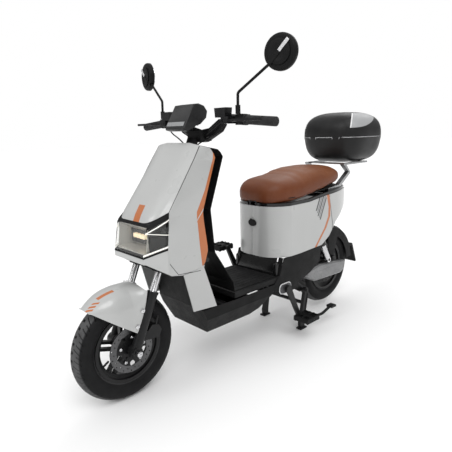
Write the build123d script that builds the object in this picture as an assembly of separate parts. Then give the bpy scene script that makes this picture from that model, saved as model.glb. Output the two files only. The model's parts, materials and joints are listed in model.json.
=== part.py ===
"""Electric moped scooter with pedals, top box and centre stand.

Millimetres.  +X is forward, +Y is the rider's left, +Z is up.  The stand is down, so the front tyre and the
two stand feet touch Z = 0.  Every place below is measured from the front axle line (X = 0), and save() moves
the finished solids so that the origin lies on the floor under the middle of the overall length.
"""
from math import atan2, cos, degrees, hypot, radians, sin, tan
import os

from build123d import *

# ---------------------------------------------------------------- driving dimensions
WHEELBASE = 1256.0
TYRE_RADIUS = 206.0
TYRE_WIDTH = 80.0
BEAD_RADIUS = 127.0
REAR_LIFT = 25.0            # rear tyre above the floor on the centre stand
RAKE = 24.0                 # steering axis from the vertical, degrees
FORK_OFFSET = 35.0          # fork tubes in front of the steering axis
FORK_HALF = 76.0            # fork tube centres from the middle plane
STANCHION_R = 13.5
LOWER_R = 19.0
AXLE_R = 6.0
CRANK_X = -765.0
CRANK_Z = 261.0
CRANK_LENGTH = 168.0
BODY_HALF = 150.0           # half width of fairings, footboard and pod
WALL = 3.0                  # moulded panel thickness
RAIL_HALF = 95.0            # frame rails from the middle plane
RAIL_R = 14.0
BAR_HALF = 388.0            # handlebar end from the middle plane
BAR_R = 11.0
POD_TOP = 640.0
SEAT_BOTTOM = 676.0
BOX_FRONT = -1254.0
BOX_LENGTH = 356.0
BOX_WIDTH = 366.0
BOX_FLOOR = 802.0
BOX_SEAM = 926.0
BOX_TOP = 1060.0
BOX_WALL = 4.0
LATCH_REACH = 8.0           # the catch stands this far behind the box

# ---------------------------------------------------------------- clearances
FIT = 0.05                  # radial running fit
SEAM = 0.4                  # gap between neighbouring panels
SEAT_GAP = 0.3              # gap between a piece and its seat

# ---------------------------------------------------------------- derived places
FRONT_Z = TYRE_RADIUS
REAR_X = -WHEELBASE
REAR_Z = TYRE_RADIUS + REAR_LIFT
RAKE_SIN = sin(radians(RAKE))
RAKE_COS = cos(radians(RAKE))
AXIS_FOOT_X = -FORK_OFFSET / RAKE_COS
ORIGIN_X = (TYRE_RADIUS + BOX_FRONT - BOX_LENGTH - LATCH_REACH) / 2
CENTRE_MIN = (Align.CENTER, Align.CENTER, Align.MIN)
FORK = Plane(origin=(AXIS_FOOT_X, 0, FRONT_Z), x_dir=(RAKE_COS, 0, RAKE_SIN), z_dir=(-RAKE_SIN, 0, RAKE_COS))
AXLE_S = -FORK_OFFSET * tan(radians(RAKE))      # the front axle along the steering axis


# ---------------------------------------------------------------- shape helpers
def prism(points, y0, y1):
    """A side-view outline (x, z) made solid between two y planes."""
    face = make_face(Polyline(*points, close=True))
    return extrude(Plane.XZ.offset(-y1) * face, amount=y1 - y0)


def block(x0, x1, y0, y1, z0, z1):
    size = (x1 - x0, y1 - y0, z1 - z0)
    return Pos((x0 + x1) / 2, (y0 + y1) / 2, (z0 + z1) / 2) * Box(*size)


def rod(start, end, radius):
    """A round bar between two points."""
    run = Vector(*end) - Vector(*start)
    return Plane(origin=start, z_dir=run.normalized()) * Cylinder(radius, run.length, align=CENTRE_MIN)


def disc(x, z, radius, y0, y1):
    """A cylinder along Y."""
    return rod((x, y0, z), (x, y1, z), radius)


def ring(x, z, radius, bore, y0, y1):
    return disc(x, z, radius, y0, y1) - disc(x, z, bore, y0 - 1, y1 + 1)


def bent_bar(points, radii, radius):
    """A round bar along straight runs joined by tangent arcs."""
    path = FilletPolyline(*points, radius=radii)
    start = Plane(origin=path @ 0, z_dir=path % 0)
    return sweep(start * Circle(radius), path=path)


def on_fork(x, y, s):
    """A world point from distances ahead of, beside and along the steering axis."""
    return tuple(FORK.from_local_coords(Vector(x, y, s)))


def fork_rod(x, y, s0, s1, radius):
    return rod(on_fork(x, y, s0), on_fork(x, y, s1), radius)


def grown(outline, amount):
    """The outline with every edge moved outwards by an amount (inwards when negative)."""
    count = len(outline)
    area = sum(outline[i - 1][0] * outline[i][1] - outline[i][0] * outline[i - 1][1] for i in range(count))
    turn = 1 if area > 0 else -1
    edges = []
    for index in range(count):
        (x0, z0), (x1, z1) = outline[index - 1], outline[index]
        size = hypot(x1 - x0, z1 - z0)
        nx, nz = turn * (z1 - z0) / size, turn * (x0 - x1) / size
        edges.append((nx, nz, nx * x0 + nz * z0 + amount))
    corners = []
    for index in range(count):
        a0, b0, c0 = edges[index]
        a1, b1, c1 = edges[(index + 1) % count]
        det = a0 * b1 - a1 * b0
        corners.append(((c0 * b1 - c1 * b0) / det, (a0 * c1 - a1 * c0) / det))
    return corners


def grown_prism(outline, amount):
    return prism(grown(outline, amount), -300, 300)


def both_sides(solid):
    return [solid, mirror(solid, about=Plane.XZ)]


def turned(profile, x, z, start, angle):
    """Revolve a (y, r) outline about the wheel axis at (x, z), from an angle above +X towards +Z."""
    face = make_face(Polyline(*profile, close=True))
    up = Vector(cos(radians(start)), 0, sin(radians(start)))
    plane = Plane(origin=(x, 0, z), x_dir=(0, 1, 0), z_dir=Vector(0, 1, 0).cross(up))
    return revolve(plane * face, axis=Axis((x, 0, z), (0, -1, 0)), revolution_arc=angle)


def pieces(shape):
    """The separate solids of a shape."""
    return list(shape.solids())


def save(name, *shapes):
    """Write one node, moved so that the overall middle is X = 0."""
    solids = []
    for shape in shapes:
        for item in (shape if isinstance(shape, list) else [shape]):
            solids.extend(item.solids())
    moved = [Pos(-ORIGIN_X, 0, 0) * solid for solid in solids]
    body = moved[0] if len(moved) == 1 else Compound(children=moved)
    export_step(body, f"parts/{name}.step")


# ---------------------------------------------------------------- front wheel and tyres
RIM_FLANGE_R = 134.0
RIM_HALF = 31.0
RIM_WELL_R = 112.0
HUB_R = 30.0
HUB_HALF = 40.0
BEARING_R = 17.5
BEARING_WIDTH = 11.0
SPOKE_PAIRS = 5
SPOKE_WIDTH = 11.0
DISC_R = 88.0
DISC_IN = 47.0
DISC_THICK = 3.5
DISC_BOLT_R = 3.0
DISC_BOLT_CIRCLE = 31.0


def tyre(x, z):
    """A hollow tyre casing with beads that sit on the rim."""
    half = TYRE_WIDTH / 2
    shoulder = TYRE_RADIUS - 15
    bead = BEAD_RADIUS + SEAT_GAP
    rise = RIM_FLANGE_R + 2
    rim_side = Line((27, bead), (27, rise))
    outer = ThreePointArc((27, rise), (half, 166), (half - 8, shoulder))
    crown = ThreePointArc((half - 8, shoulder), (0, TYRE_RADIUS), (8 - half, shoulder))
    outer_far = ThreePointArc((8 - half, shoulder), (-half, 166), (-27, rise))
    rim_far = Line((-27, rise), (-27, bead))
    foot_far = Line((-27, bead), (-19, bead))
    inner_far = ThreePointArc((-19, bead), (8 - half, 160), (15 - half, shoulder - 6))
    lining = ThreePointArc((15 - half, shoulder - 6), (0, TYRE_RADIUS - 11), (half - 15, shoulder - 6))
    inner = ThreePointArc((half - 15, shoulder - 6), (half - 8, 160), (19, bead))
    foot = Line((19, bead), (27, bead))
    face = make_face([rim_side, outer, crown, outer_far, rim_far, foot_far, inner_far, lining, inner, foot])
    plane = Plane(origin=(x, 0, z), x_dir=(0, 1, 0), z_dir=(-1, 0, 0))
    return revolve(plane * face, axis=Axis((x, 0, z), (0, 1, 0)), revolution_arc=360)


def barrel(x, z):
    """The rim's rolled ring: two flanges, bead seats and a drop well."""
    half = RIM_HALF
    seat = BEAD_RADIUS
    outline = [
        (-half, RIM_FLANGE_R), (3 - half, RIM_FLANGE_R), (3 - half, seat), (-18, seat), (-12, RIM_WELL_R),
        (12, RIM_WELL_R), (18, seat), (half - 3, seat), (half - 3, RIM_FLANGE_R), (half, RIM_FLANGE_R),
        (half, seat - 5), (20, seat - 5), (14, RIM_WELL_R - 5), (-14, RIM_WELL_R - 5), (-20, seat - 5),
        (-half, seat - 5),
    ]
    return turned(outline, x, z, 0, 360)


def front_rim():
    body = barrel(0, FRONT_Z) + disc(0, FRONT_Z, HUB_R, -HUB_HALF, HUB_HALF)
    body += disc(0, FRONT_Z, HUB_R + 12, 10, DISC_IN - FIT)
    length = RIM_WELL_R - 3
    for pair in range(SPOKE_PAIRS):
        for lean in (-13, 13):
            angle = 90 + pair * 360 / SPOKE_PAIRS
            spoke = Pos(length / 2, lean, 0) * Box(length, SPOKE_WIDTH, 18)
            body += Plane(origin=(0, 0, FRONT_Z), x_dir=(1, 0, 0), z_dir=(0, -1, 0)) * Rot(0, 0,
                angle) * spoke
    body -= disc(0, FRONT_Z, BEARING_R - 2, -80, 80)
    for side in (-1, 1):
        outer = HUB_HALF if side < 0 else DISC_IN - FIT
        seat = sorted((side * (outer - BEARING_WIDTH), side * (outer + 1)))
        body -= disc(0, FRONT_Z, BEARING_R + 0.02, *seat)
    for index in range(5):
        x, z = polar(DISC_BOLT_CIRCLE + 4, 18 + 72 * index)
        body -= disc(x, FRONT_Z + z, DISC_BOLT_R + 0.02, 22, 60)
    races = []
    for side in (-1, 1):
        outer = HUB_HALF if side < 0 else DISC_IN - FIT
        seat = sorted((side * (outer - BEARING_WIDTH), side * outer))
        races.append(ring(0, FRONT_Z, BEARING_R, AXLE_R + FIT, *seat))
    (x0, z0), (x1, z1) = polar(RIM_WELL_R - 5.1, -30), polar(RIM_WELL_R - 32, -30)
    valve = rod((x0, 0, FRONT_Z + z0), (x1, 0, FRONT_Z + z1), 4)
    return body, races, valve


def polar(radius, angle):
    return radius * cos(radians(angle)), radius * sin(radians(angle))


def brake_disc():
    outer = DISC_IN + DISC_THICK
    body = ring(0, FRONT_Z, DISC_R, 24, DISC_IN, outer)
    for index in range(5):
        x, z = polar(54, 54 + 72 * index)
        body -= disc(x, FRONT_Z + z, 11, 40, 60)
        x, z = polar(DISC_BOLT_CIRCLE + 4, 18 + 72 * index)
        body -= disc(x, FRONT_Z + z, DISC_BOLT_R + 0.02, 40, 60)
    for index in range(15):
        for radius, turn in ((73, 0), (81, 12)):
            x, z = polar(radius, 24 * index + turn)
            body -= disc(x, FRONT_Z + z, 2.6, 40, 60)
    bolts = []
    for index in range(5):
        x, z = polar(DISC_BOLT_CIRCLE + 4, 18 + 72 * index)
        head = disc(x, FRONT_Z + z, 5, outer + 0.02, outer + 4)
        bolts.append(head + disc(x, FRONT_Z + z, DISC_BOLT_R, 24, outer + 1))
    return body, bolts


# ---------------------------------------------------------------- front fork
LOWER_TOP = 200.0           # along the steering axis, from the axle's height
LOWER_BOTTOM = -38.0
SEAL_HEIGHT = 9.0
STANCHION_FOOT = 46.0       # clears the axle at full fork travel
CROWN_BOTTOM = 282.0
CROWN_TOP = 308.0
STEERER_R = 12.7
STEERER_TOP = 806.0
HEAD_BOTTOM = 330.0
HEAD_TOP = 762.0
HEAD_R = 25.0
HEADSET_R = 21.0
HEADSET_HEIGHT = 12.0


def fork_lowers():
    legs = []
    for side in (-1, 1):
        y = side * FORK_HALF
        leg = fork_rod(FORK_OFFSET, y, LOWER_BOTTOM, LOWER_TOP, LOWER_R)
        leg += disc(0, FRONT_Z, 21, y - LOWER_R, y + LOWER_R)
        for x, z in ((-30, 354), (-6, 301)):
            lug = sorted((y, side * (FENDER_HALF - WALL - SEAT_GAP)))
            leg += block(x - 34, x, *lug, z - 8, z + 8)
        leg -= fork_rod(FORK_OFFSET, y, LOWER_BOTTOM + 24, LOWER_TOP + 1, STANCHION_R + FIT)
        leg -= disc(0, FRONT_Z, AXLE_R + 0.02, y - 40, y + 40)
        if side > 0:
            leg += block(-66, -24, FORK_HALF - 16, FORK_HALF - 8, 228, 262)
            leg -= fork_rod(FORK_OFFSET, y, LOWER_BOTTOM + 24, LOWER_TOP + 1, STANCHION_R + FIT)
        legs.append(leg)
    return legs


def fork_seals():
    rings = []
    for side in (-1, 1):
        y = side * FORK_HALF
        seal = fork_rod(FORK_OFFSET, y, LOWER_TOP, LOWER_TOP + SEAL_HEIGHT, LOWER_R + 2)
        rings.append(seal - fork_rod(FORK_OFFSET, y, LOWER_TOP - 1, LOWER_TOP + 20, STANCHION_R + FIT))
    return rings


def caliper():
    """Two-pad caliper bolted behind the left leg."""
    outline = [(-66, 226), (-66, 264), (-84, 280), (-112, 272), (-124, 250), (-112, 224)]
    inner = DISC_IN - 1
    body = prism(outline, DISC_IN - 5, FORK_HALF - 8)
    body -= ring(0, FRONT_Z, DISC_R + 2, 10, inner, DISC_IN + DISC_THICK + 1)
    union = rod((-100, 62, 270), (-112, 62, 306), 4.5)
    return body + union


def front_axle():
    reach = FORK_HALF + LOWER_R
    bar = disc(0, FRONT_Z, AXLE_R, -reach - 8, reach + 8)
    for side in (-1, 1):
        hub_side = HUB_HALF if side < 0 else DISC_IN
        spacer = sorted((side * (hub_side + 0.1), side * (FORK_HALF - LOWER_R - 0.1)))
        bar += disc(0, FRONT_Z, 10, *spacer)
        nut = sorted((side * (reach + 0.1), side * (reach + 8)))
        bar += disc(0, FRONT_Z, 11, *nut)
    return bar


def stanchions():
    top = CROWN_TOP + 4
    return [fork_rod(FORK_OFFSET, side * FORK_HALF, STANCHION_FOOT, top, STANCHION_R) for side in (-1, 1)]


def fork_crown():
    outline = [
        (-30, -22), (-30, 22), (16, FORK_HALF + 22), (FORK_OFFSET + 20, FORK_HALF + 22),
        (FORK_OFFSET + 20, FORK_HALF - 20), (24, 30), (24, -30), (FORK_OFFSET + 20, 20 - FORK_HALF),
        (FORK_OFFSET + 20, -FORK_HALF - 22), (16, -FORK_HALF - 22),
    ]
    face = make_face(Polyline(*outline, close=True))
    yoke = FORK * Pos(0, 0, CROWN_BOTTOM) * extrude(face, amount=CROWN_TOP - CROWN_BOTTOM)
    yoke += fork_rod(0, 0, CROWN_BOTTOM, STEERER_TOP, STEERER_R)
    for side in (-1, 1):
        yoke -= fork_rod(FORK_OFFSET, side * FORK_HALF, CROWN_BOTTOM - 1, CROWN_TOP + 5, STANCHION_R + 0.02)
    return yoke


def headset():
    rings = []
    for start in (HEAD_BOTTOM, HEAD_TOP - HEADSET_HEIGHT):
        race = fork_rod(0, 0, start, start + HEADSET_HEIGHT, HEADSET_R - 0.02)
        rings.append(race - fork_rod(0, 0, start - 1, start + 20, STEERER_R + FIT))
    return rings


# ---------------------------------------------------------------- front fender
FENDER_HALF = 84.0
FENDER_R = 236.0
FENDER_START = 50.0
FENDER_END = 104.0


def front_fender():
    half = FENDER_HALF
    outer = [(half, 196), (half, 216), (62, 230), (26, FENDER_R), (-26, FENDER_R), (-62, 230), (-half, 216)]
    outer.append((-half, 196))
    inner = [(-half + WALL, 196), (-half + WALL, 214), (-60, 227), (-25, FENDER_R - WALL)]
    inner += [(25, FENDER_R - WALL), (60, 227), (half - WALL, 214), (half - WALL, 196)]
    hood = turned(outer + inner, 0, FRONT_Z, FENDER_START, FENDER_END - FENDER_START)
    skirt = [(-4, 277), (96, 352), (124, 368), (-60, 412), (-66, 400)]
    for side in (-1, 1):
        band = sorted((side * half, side * (half - WALL)))
        hood += prism(skirt, *band)
    for side in (-1, 1):
        leg = sorted((side * (FORK_HALF - LOWER_R - 3), side * (FORK_HALF + 40)))
        size = (200, leg[1] - leg[0], 400)
        keep_out = FORK * Pos(FORK_OFFSET + LOWER_R + 0.5 - 100, (leg[0] + leg[1]) / 2, 200) * Box(*size)
        hood -= keep_out
    half = 44
    top = FENDER_R - WALL - SEAM
    tail = [(half, 205), (half, 222), (22, top), (-22, top), (-half, 222), (-half, 205)]
    tail += [(3 - half, 205), (3 - half, 220), (-21, top - WALL), (21, top - WALL), (half - 3, 220),
        (half - 3, 205)]
    guard = turned(tail, 0, FRONT_Z, FENDER_END - 6, 54)
    return hood, guard


# ---------------------------------------------------------------- handlebar and controls
CLAMP_S = 800.0
BAR_X = -413.0
GRIP_IN = 252.0
GRIP_R = 16.5
BAR_PATH = [(-402, 0, 962), (-402, 52, 962), (-410, 150, 1023), (BAR_X, BAR_HALF, 1004)]


def along_bar(y):
    """A point on the straight outer run of the left handlebar."""
    inner, outer = BAR_PATH[2], BAR_PATH[3]
    part = (y - inner[1]) / (outer[1] - inner[1])
    return tuple(a + part * (b - a) for a, b in zip(inner, outer))


def bar_rod(y0, y1, radius):
    return rod(along_bar(y0), along_bar(y1), radius)


def handlebar():
    left = bent_bar(BAR_PATH, [40, 40], BAR_R)
    return left + mirror(left, about=Plane.XZ)


def bar_clamp():
    """The neck: a clamp on the steerer that carries the bar, the wings and the display."""
    neck = fork_rod(0, 0, HEAD_TOP + 3, STEERER_TOP + 6, 22)
    neck += block(-432, -374, -40, 40, 940, 984)
    wing = [(20, 935), (110, 975), (132, 1000), (118, 1022), (60, 990), (20, 985)]
    face = make_face(Polyline(*wing, close=True))
    left = extrude(Plane.YZ.offset(-432) * face, amount=30)
    neck += left + mirror(left, about=Plane.XZ)
    neck += prism([(-390, 975), (-340, 992), (-340, 1000), (-392, 985)], -28, 28)
    neck -= fork_rod(0, 0, HEAD_TOP, STEERER_TOP + 0.1, STEERER_R + 0.02)
    bar = bent_bar(BAR_PATH, [40, 40], BAR_R + 0.02)
    return neck - bar - mirror(bar, about=Plane.XZ)


def display():
    arc = [(-331, 1078), (-358, 1082), (-384, 1074), (-398, 1056), (-392, 1032), (-362, 1008)]
    outline = [(-282, 985), (-278, 990)] + arc + [(-352, 1000.1), (-340, 1000.1), (-338, 996), (-300, 980)]
    body = prism(outline, -59, 59)
    screen_side = [(-398.4, 1056), (-392.4, 1032), (-362.4, 1008), (-364, 1006), (-396, 1030), (-402, 1057)]
    screen = prism(screen_side, -52, 52)
    body = body - prism([(-300, 992), (-334, 1070), (-372, 1068), (-386, 1050), (-350, 1008)], -55, 55)
    return body, screen - prism([(x + 0.05, z) for x, z in outline], -59, 59)


def grip(side, end):
    sleeve = bar_rod(GRIP_IN, end, GRIP_R) + bar_rod(GRIP_IN, GRIP_IN + 6, GRIP_R + 3)
    sleeve -= bar_rod(GRIP_IN - 2, end - 1.5, BAR_R + FIT)
    return sleeve if side > 0 else mirror(sleeve, about=Plane.XZ)


SWITCH_IN = 214.0
PERCH_IN = 168.0
PERCH_OUT = 210.0


def switch_box(side):
    body = bar_rod(SWITCH_IN, GRIP_IN - 0.4, 20)
    x, y, z = along_bar((SWITCH_IN + GRIP_IN) / 2)
    body += block(x - 26, x + 18, y - 16, y + 16, z - 19, z + 17)
    body -= bar_rod(SWITCH_IN - 5, GRIP_IN + 2, BAR_R + 0.02)
    body -= block(x - 30, x - 19, y - 6, y + 6, z - 6, z + 6)
    return body if side > 0 else mirror(body, about=Plane.XZ)


def horn_button():
    x, y, z = along_bar((SWITCH_IN + GRIP_IN) / 2)
    gap = SEAT_GAP
    return block(x - 29, x - 19 - 2.5, y - 6 + gap, y + 6 - gap, z - 6 + gap, z + 6 - gap)


LEVER_PIVOT_Y = 196.0
LEVER_PIVOT_X = -374.0
MIRROR_Y = 230.0


def lever_plane():
    """The plane that a lever swings in: its pivot point, with X forward and Z along the pivot pin."""
    height = along_bar(LEVER_PIVOT_Y)[2] - 6
    return Pos(LEVER_PIVOT_X, LEVER_PIVOT_Y, height)


def lever_perch(side):
    """Bar clamp, lever jaw, fluid reservoir and mirror stem."""
    body = bar_rod(PERCH_IN, PERCH_OUT, 17)
    x, y, z = along_bar(190)
    body += block(x, LEVER_PIVOT_X + 12, PERCH_IN + 4, PERCH_OUT, z - 17, z + 8)
    base = [(PERCH_IN - 26, z + 6), (PERCH_IN + 26, z + 6), (PERCH_IN + 30, z + 40), (PERCH_IN - 30, z + 40)]
    face = make_face(Polyline(*base, close=True))
    body += extrude(Plane.YZ.offset(-396) * face, amount=34)
    body += block(-396, -378, PERCH_IN - 4, PERCH_IN + 26, z - 2, z + 20)
    jaw = block(-390, -350, PERCH_IN + 10, PERCH_OUT + 4, -5.3, 5.3)
    height = along_bar(LEVER_PIVOT_Y)[2] - 6
    body -= Pos(0, 0, height) * jaw
    body -= bar_rod(PERCH_IN - 40, PERCH_OUT + 4, BAR_R + 0.02)
    pin = rod((LEVER_PIVOT_X, LEVER_PIVOT_Y, height - 7), (LEVER_PIVOT_X, LEVER_PIVOT_Y, height + 7), 3)
    body += pin
    return body if side > 0 else mirror(body, about=Plane.XZ)


def mirror_stem(side):
    """Threaded boss on the switch clamp and the bent arm up to the mirror's ball."""
    x, y, z = along_bar(MIRROR_Y)
    boss = rod((-394, MIRROR_Y, z + 18.6), (-394, MIRROR_Y, 1066), 9)
    arm = bent_bar([(-394, MIRROR_Y, 1060), (-395, MIRROR_Y, 1108), MIRROR_BALL], [14], 5)
    body = boss + arm + Pos(*MIRROR_BALL) * Sphere(8)
    return body if side > 0 else mirror(body, about=Plane.XZ)


MIRROR_BALL = (-428, 356, 1196)
MIRROR_CENTRE = (-440, 390, 1226)
MIRROR_R = 60.0
MIRROR_TOE = 13.0


def mirror_head(side):
    """Round housing with a glass in its rear face, on a socket that turns about the arm's ball."""
    facing = Vector(-cos(radians(MIRROR_TOE)), -sin(radians(MIRROR_TOE)), 0)
    plane = Plane(origin=MIRROR_CENTRE, x_dir=(0, 0, 1), z_dir=facing)
    shell = plane * Pos(0, 0, -14) * Cylinder(MIRROR_R, 20, align=CENTRE_MIN)
    shell = fillet(shell.edges().sort_by(Axis.X)[-1], 11)
    shell -= plane * Pos(0, 0, 2) * Cylinder(MIRROR_R - 4, 10, align=CENTRE_MIN)
    glass = plane * Pos(0, 0, 2.1) * Cylinder(MIRROR_R - 4.3, 2.4, align=CENTRE_MIN)
    clear = Pos(*MIRROR_BALL) * Sphere(8 + FIT)
    arm = bent_bar([(-394, MIRROR_Y, 1060), (-395, MIRROR_Y, 1108), MIRROR_BALL], [14], 5 + 3)
    socket = Pos(*MIRROR_BALL) * Sphere(13)
    shell = (shell + socket) - clear - arm
    shell = max(shell.solids(), key=lambda solid: solid.volume)
    solids = [shell, glass - clear - socket]
    return solids if side > 0 else [mirror(solid, about=Plane.XZ) for solid in solids]


def brake_lever(side):
    """A blade that swings about its pin towards the grip."""
    outline = [
        (12, -14), (12, 10), (26, 60), (20, 120), (22, 172), (10, 174), (8, 120), (12, 62), (-4, 14),
            (-10, -14),
    ]
    face = make_face(Polyline(*outline, close=True))
    blade = extrude(face, amount=9)
    blade = Pos(0, 0, -4.5) * blade - Pos(0, 0, -10) * Cylinder(3 + FIT, 20, align=CENTRE_MIN)
    blade = lever_plane() * blade
    return blade if side > 0 else mirror(blade, about=Plane.XZ)


def brake_hoses():
    z = along_bar(PERCH_IN)[2]
    left = bent_bar(
        [(-376, PERCH_IN + 3.5, z - 18), (-376, 150, z - 44), (-370, 92, z - 66), (-354, 29.5, 925),
            (-349, 29, 892)],
        [14, 40, 14], 2.6,
    )
    return both_sides(left)


# ---------------------------------------------------------------- front body panels
# Horizontal sections of the front cowl: height, front face x, its half width, seam x, seam half width, rear x.
COWL = [
    (938, -296, 92, -302, 128, -328),
    (881, -243, 96, -263, 133, -349),
    (690, -86, 96, -132, 136, -281),
    (655, -64, 97, -120, 140, -283),
    (540, -44, 99, -118, 143, -299),
    (462, -44, 99, -118, 143, -272),
]
LENS_ZONE = [(30, 612), (-138, 703), (-121, 572), (30, 520)]
CHIN_ZONE = [(30, 520), (-121, 572), (-129, 475), (-51, 525), (30, 534)]
SEAM_LINE = [(-301, 937), (-134, 697)]


def cowl_solid(inset):
    faces = []
    for z, front, front_half, seam, seam_half, rear in COWL:
        rear_half = BODY_HALF - inset
        points = [
            (rear - 40 * (inset > 0), -rear_half), (seam, inset - seam_half),
                (front - inset, inset / 2 - front_half),
            (front - inset, front_half - inset / 2), (seam, seam_half - inset),
                (rear - 40 * (inset > 0), rear_half),
        ]
        faces.append(Pos(0, 0, z) * make_face(Polyline(*points, close=True)))
    return loft(faces, ruled=True)


def cowl_shell():
    inner = cowl_solid(WALL)
    return cowl_solid(0) - inner, inner


def front_region(shift):
    """Everything in front of the panel seam, above the headlight."""
    (x0, z0), (x1, z1) = SEAM_LINE
    return prism([(x0 + shift, 990), (x0 + shift, z0), (x1 + shift, z1), (200, z1 - 180), (200, 990)],
        -300, 300)


def cowl_panels():
    shell, _ = cowl_shell()
    lens_cut = grown_prism(LENS_ZONE, SEAM / 2)
    chin_cut = grown_prism(CHIN_ZONE, SEAM / 2)
    half = SEAM / 2
    front = (shell & front_region(half)) - lens_cut
    front = max(front.solids(), key=lambda solid: solid.volume)
    lens = shell & grown_prism(LENS_ZONE, -half)
    chin = (shell & grown_prism(CHIN_ZONE, -half)) - lens_cut
    under = [(60, 400), (60, 540), (-51, 525), (-129, 475), (-179, 466), (-275, 478), (-420, 478),
        (-420, 400)]
    side = shell - front_region(-half) - lens_cut - chin_cut - prism(under, -300, 300)
    sides = [solid for solid in side.solids() if solid.volume > 20000]
    leg = [(-179, 465.6), (-275, 477.6), (-334, 303), (-218, 313)]
    legs = []
    for side_sign in (-1, 1):
        band = sorted((side_sign * (BODY_HALF - WALL), side_sign * BODY_HALF))
        legs.append(prism(leg, *band))
    return front, lens, chin, sides, legs


def headlight_housing():
    """Reflector bowl behind the lens, cut to the cowl's inside."""
    inside = cowl_solid(WALL + SEAT_GAP)
    bowl = prism([(-50, 560), (-64, 655), (-120, 680), (-150, 660), (-150, 560), (-110, 552)], -126, 126)
    bowl = bowl & inside
    hollow = prism([(-30, 566), (-40, 648), (-116, 672), (-140, 655), (-140, 566)], -116, 116)
    bowl -= hollow
    lamps = []
    for y in (-62, 0, 62):
        lamp = rod((-139.7, y, 607), (-92, y, 607), 24) - rod((-120, y, 607), (-80, y, 607), 21)
        lamps.append(lamp)
    return pieces(bowl), lamps


SHIELD_LINE = [(-304, 928), (-372, 912), (-392, 884), (-322, 690), (-338, 520), (-432, 375), (-440, 331)]
ARCH_LINE = [(-64, 534), (-188, 530), (-252, 420), (-262, 304)]


def thick_line(line, thick):
    """A side-view strip: the line and its copy moved square to each run."""
    back = []
    for index, (x, z) in enumerate(line):
        before = line[max(index - 1, 0)]
        after = line[min(index + 1, len(line) - 1)]
        dx, dz = after[0] - before[0], after[1] - before[1]
        size = hypot(dx, dz)
        back.append((x - dz / size * thick, z + dx / size * thick))
    return line + back[::-1]


def inner_shield():
    half = BODY_HALF - WALL - SEAM
    wall = prism(thick_line(SHIELD_LINE, WALL), -half, half)
    wall -= fork_rod(0, 0, HEAD_TOP - 160, STEERER_TOP + 90, 34)
    wall -= cowl_solid(-SEAM) - cowl_solid(WALL + SEAM)
    arch = prism(thick_line(ARCH_LINE, -WALL), -half + 8, half - 8) & cowl_and_legs_room()
    arch -= fork_rod(0, 0, 200, HEAD_TOP, HEAD_R + 4)
    return wall, arch


def cowl_and_legs_room():
    """The room between the fairings, from the floor up."""
    low = block(-700, -100, -BODY_HALF + WALL + SEAM, BODY_HALF - WALL - SEAM, 0, 470)
    return cowl_solid(WALL + SEAM) + low


# ---------------------------------------------------------------- floor and belly
FLOOR_TOP = 327.0
FLOOR_UNDER = 300.0
FLOOR_FRONT = -442.0
FLOOR_REAR = -714.0
BELLY_LINE = [(-266, 300), (-334, 301), (-432, 297), (-684, 297), (-684, 272), (-610, 200), (-560, 184),
    (-312, 184)]


def belly_section(inset):
    half = BODY_HALF - 1 - inset
    low = 181 + inset
    face = make_face(Polyline((-half, 340), (half, 340), (half, 256), (108, low), (-108, low),
        (-half, 256), close=True))
    return extrude(Plane.YZ.offset(-800) * face, amount=800)


def belly_pan():
    outer = prism(BELLY_LINE, -BODY_HALF, BODY_HALF) & belly_section(0)
    raised = [(x, z + 60 * (z > 290)) for x, z in BELLY_LINE]
    inner = prism(grown(raised, -WALL), -BODY_HALF, BODY_HALF)
    return outer - (inner & belly_section(WALL)) - block(-700, -625, -114, 114, 230, 310)


def footboard():
    """Step-through floor: a raised tray on the rails, with a separate ribbed mat."""
    half = BODY_HALF - 4 - WALL - SEAM
    tray = block(FLOOR_REAR, FLOOR_FRONT, -half, half, FLOOR_UNDER, FLOOR_TOP - 4)
    tray -= block(FLOOR_REAR + WALL, FLOOR_FRONT - WALL, WALL - half, half - WALL, FLOOR_UNDER - 1,
        FLOOR_TOP - 7)
    mat = block(FLOOR_REAR + 10, FLOOR_FRONT - 10, 16 - half, half - 16, FLOOR_TOP - 4, FLOOR_TOP - 1)
    for index in range(9):
        y = -96 + 24 * index
        mat += block(FLOOR_REAR + 30, FLOOR_FRONT - 30, y - 4, y + 4, FLOOR_TOP - 1.5, FLOOR_TOP)
    return tray, mat


# ---------------------------------------------------------------- seat pod
POD_NOSE = -702.0
POD_LOW = 405.0
TAIL_END = -1322.0
TAIL_HALF = 104.0
POD_SIDE_VIEW = [
    (-600, POD_LOW), (-600, POD_TOP), (-937, POD_TOP), (-1058, 654), (-1264, 669), (-1400, 664),
    (-1400, 600), (-1317, 596), (-1160, 512), (-1100, 446), (-1040, 412), (-864, POD_LOW),
]
POD_SEAM = [(-1101, 700), (-1101, 640), (-1131, 512), (-1131, 400)]


def pod_outline(inset):
    nose, half, tail = POD_NOSE - inset, BODY_HALF - inset, TAIL_HALF - inset
    front = ThreePointArc((nose - 98, -half), (nose - 26, -half + 42), (nose, 0))
    front_far = ThreePointArc((nose, 0), (nose - 26, half - 42), (nose - 98, half))
    side = Line((nose - 98, half), (-1101, half))
    side_far = Line((-1101, -half), (nose - 98, -half))
    back = ThreePointArc((-1101, half), (-1230, (half + tail) / 2 + 6), (TAIL_END + 20 + inset, tail))
    end = ThreePointArc((TAIL_END + 20 + inset, tail), (TAIL_END + inset, 0), (TAIL_END + 20 + inset, -tail))
    back_far = ThreePointArc((TAIL_END + 20 + inset, -tail), (-1230, -(half + tail) / 2 - 6), (-1101, -half))
    return make_face([front, front_far, side, back, end, back_far, side_far])


def pod_walls(inset, thick, z0=300, z1=750):
    height = z1 - z0
    outer = extrude(Pos(0, 0, z0) * pod_outline(inset), amount=height)
    return outer - extrude(Pos(0, 0, z0 - 1) * pod_outline(inset + thick), amount=height + 2)


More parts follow.
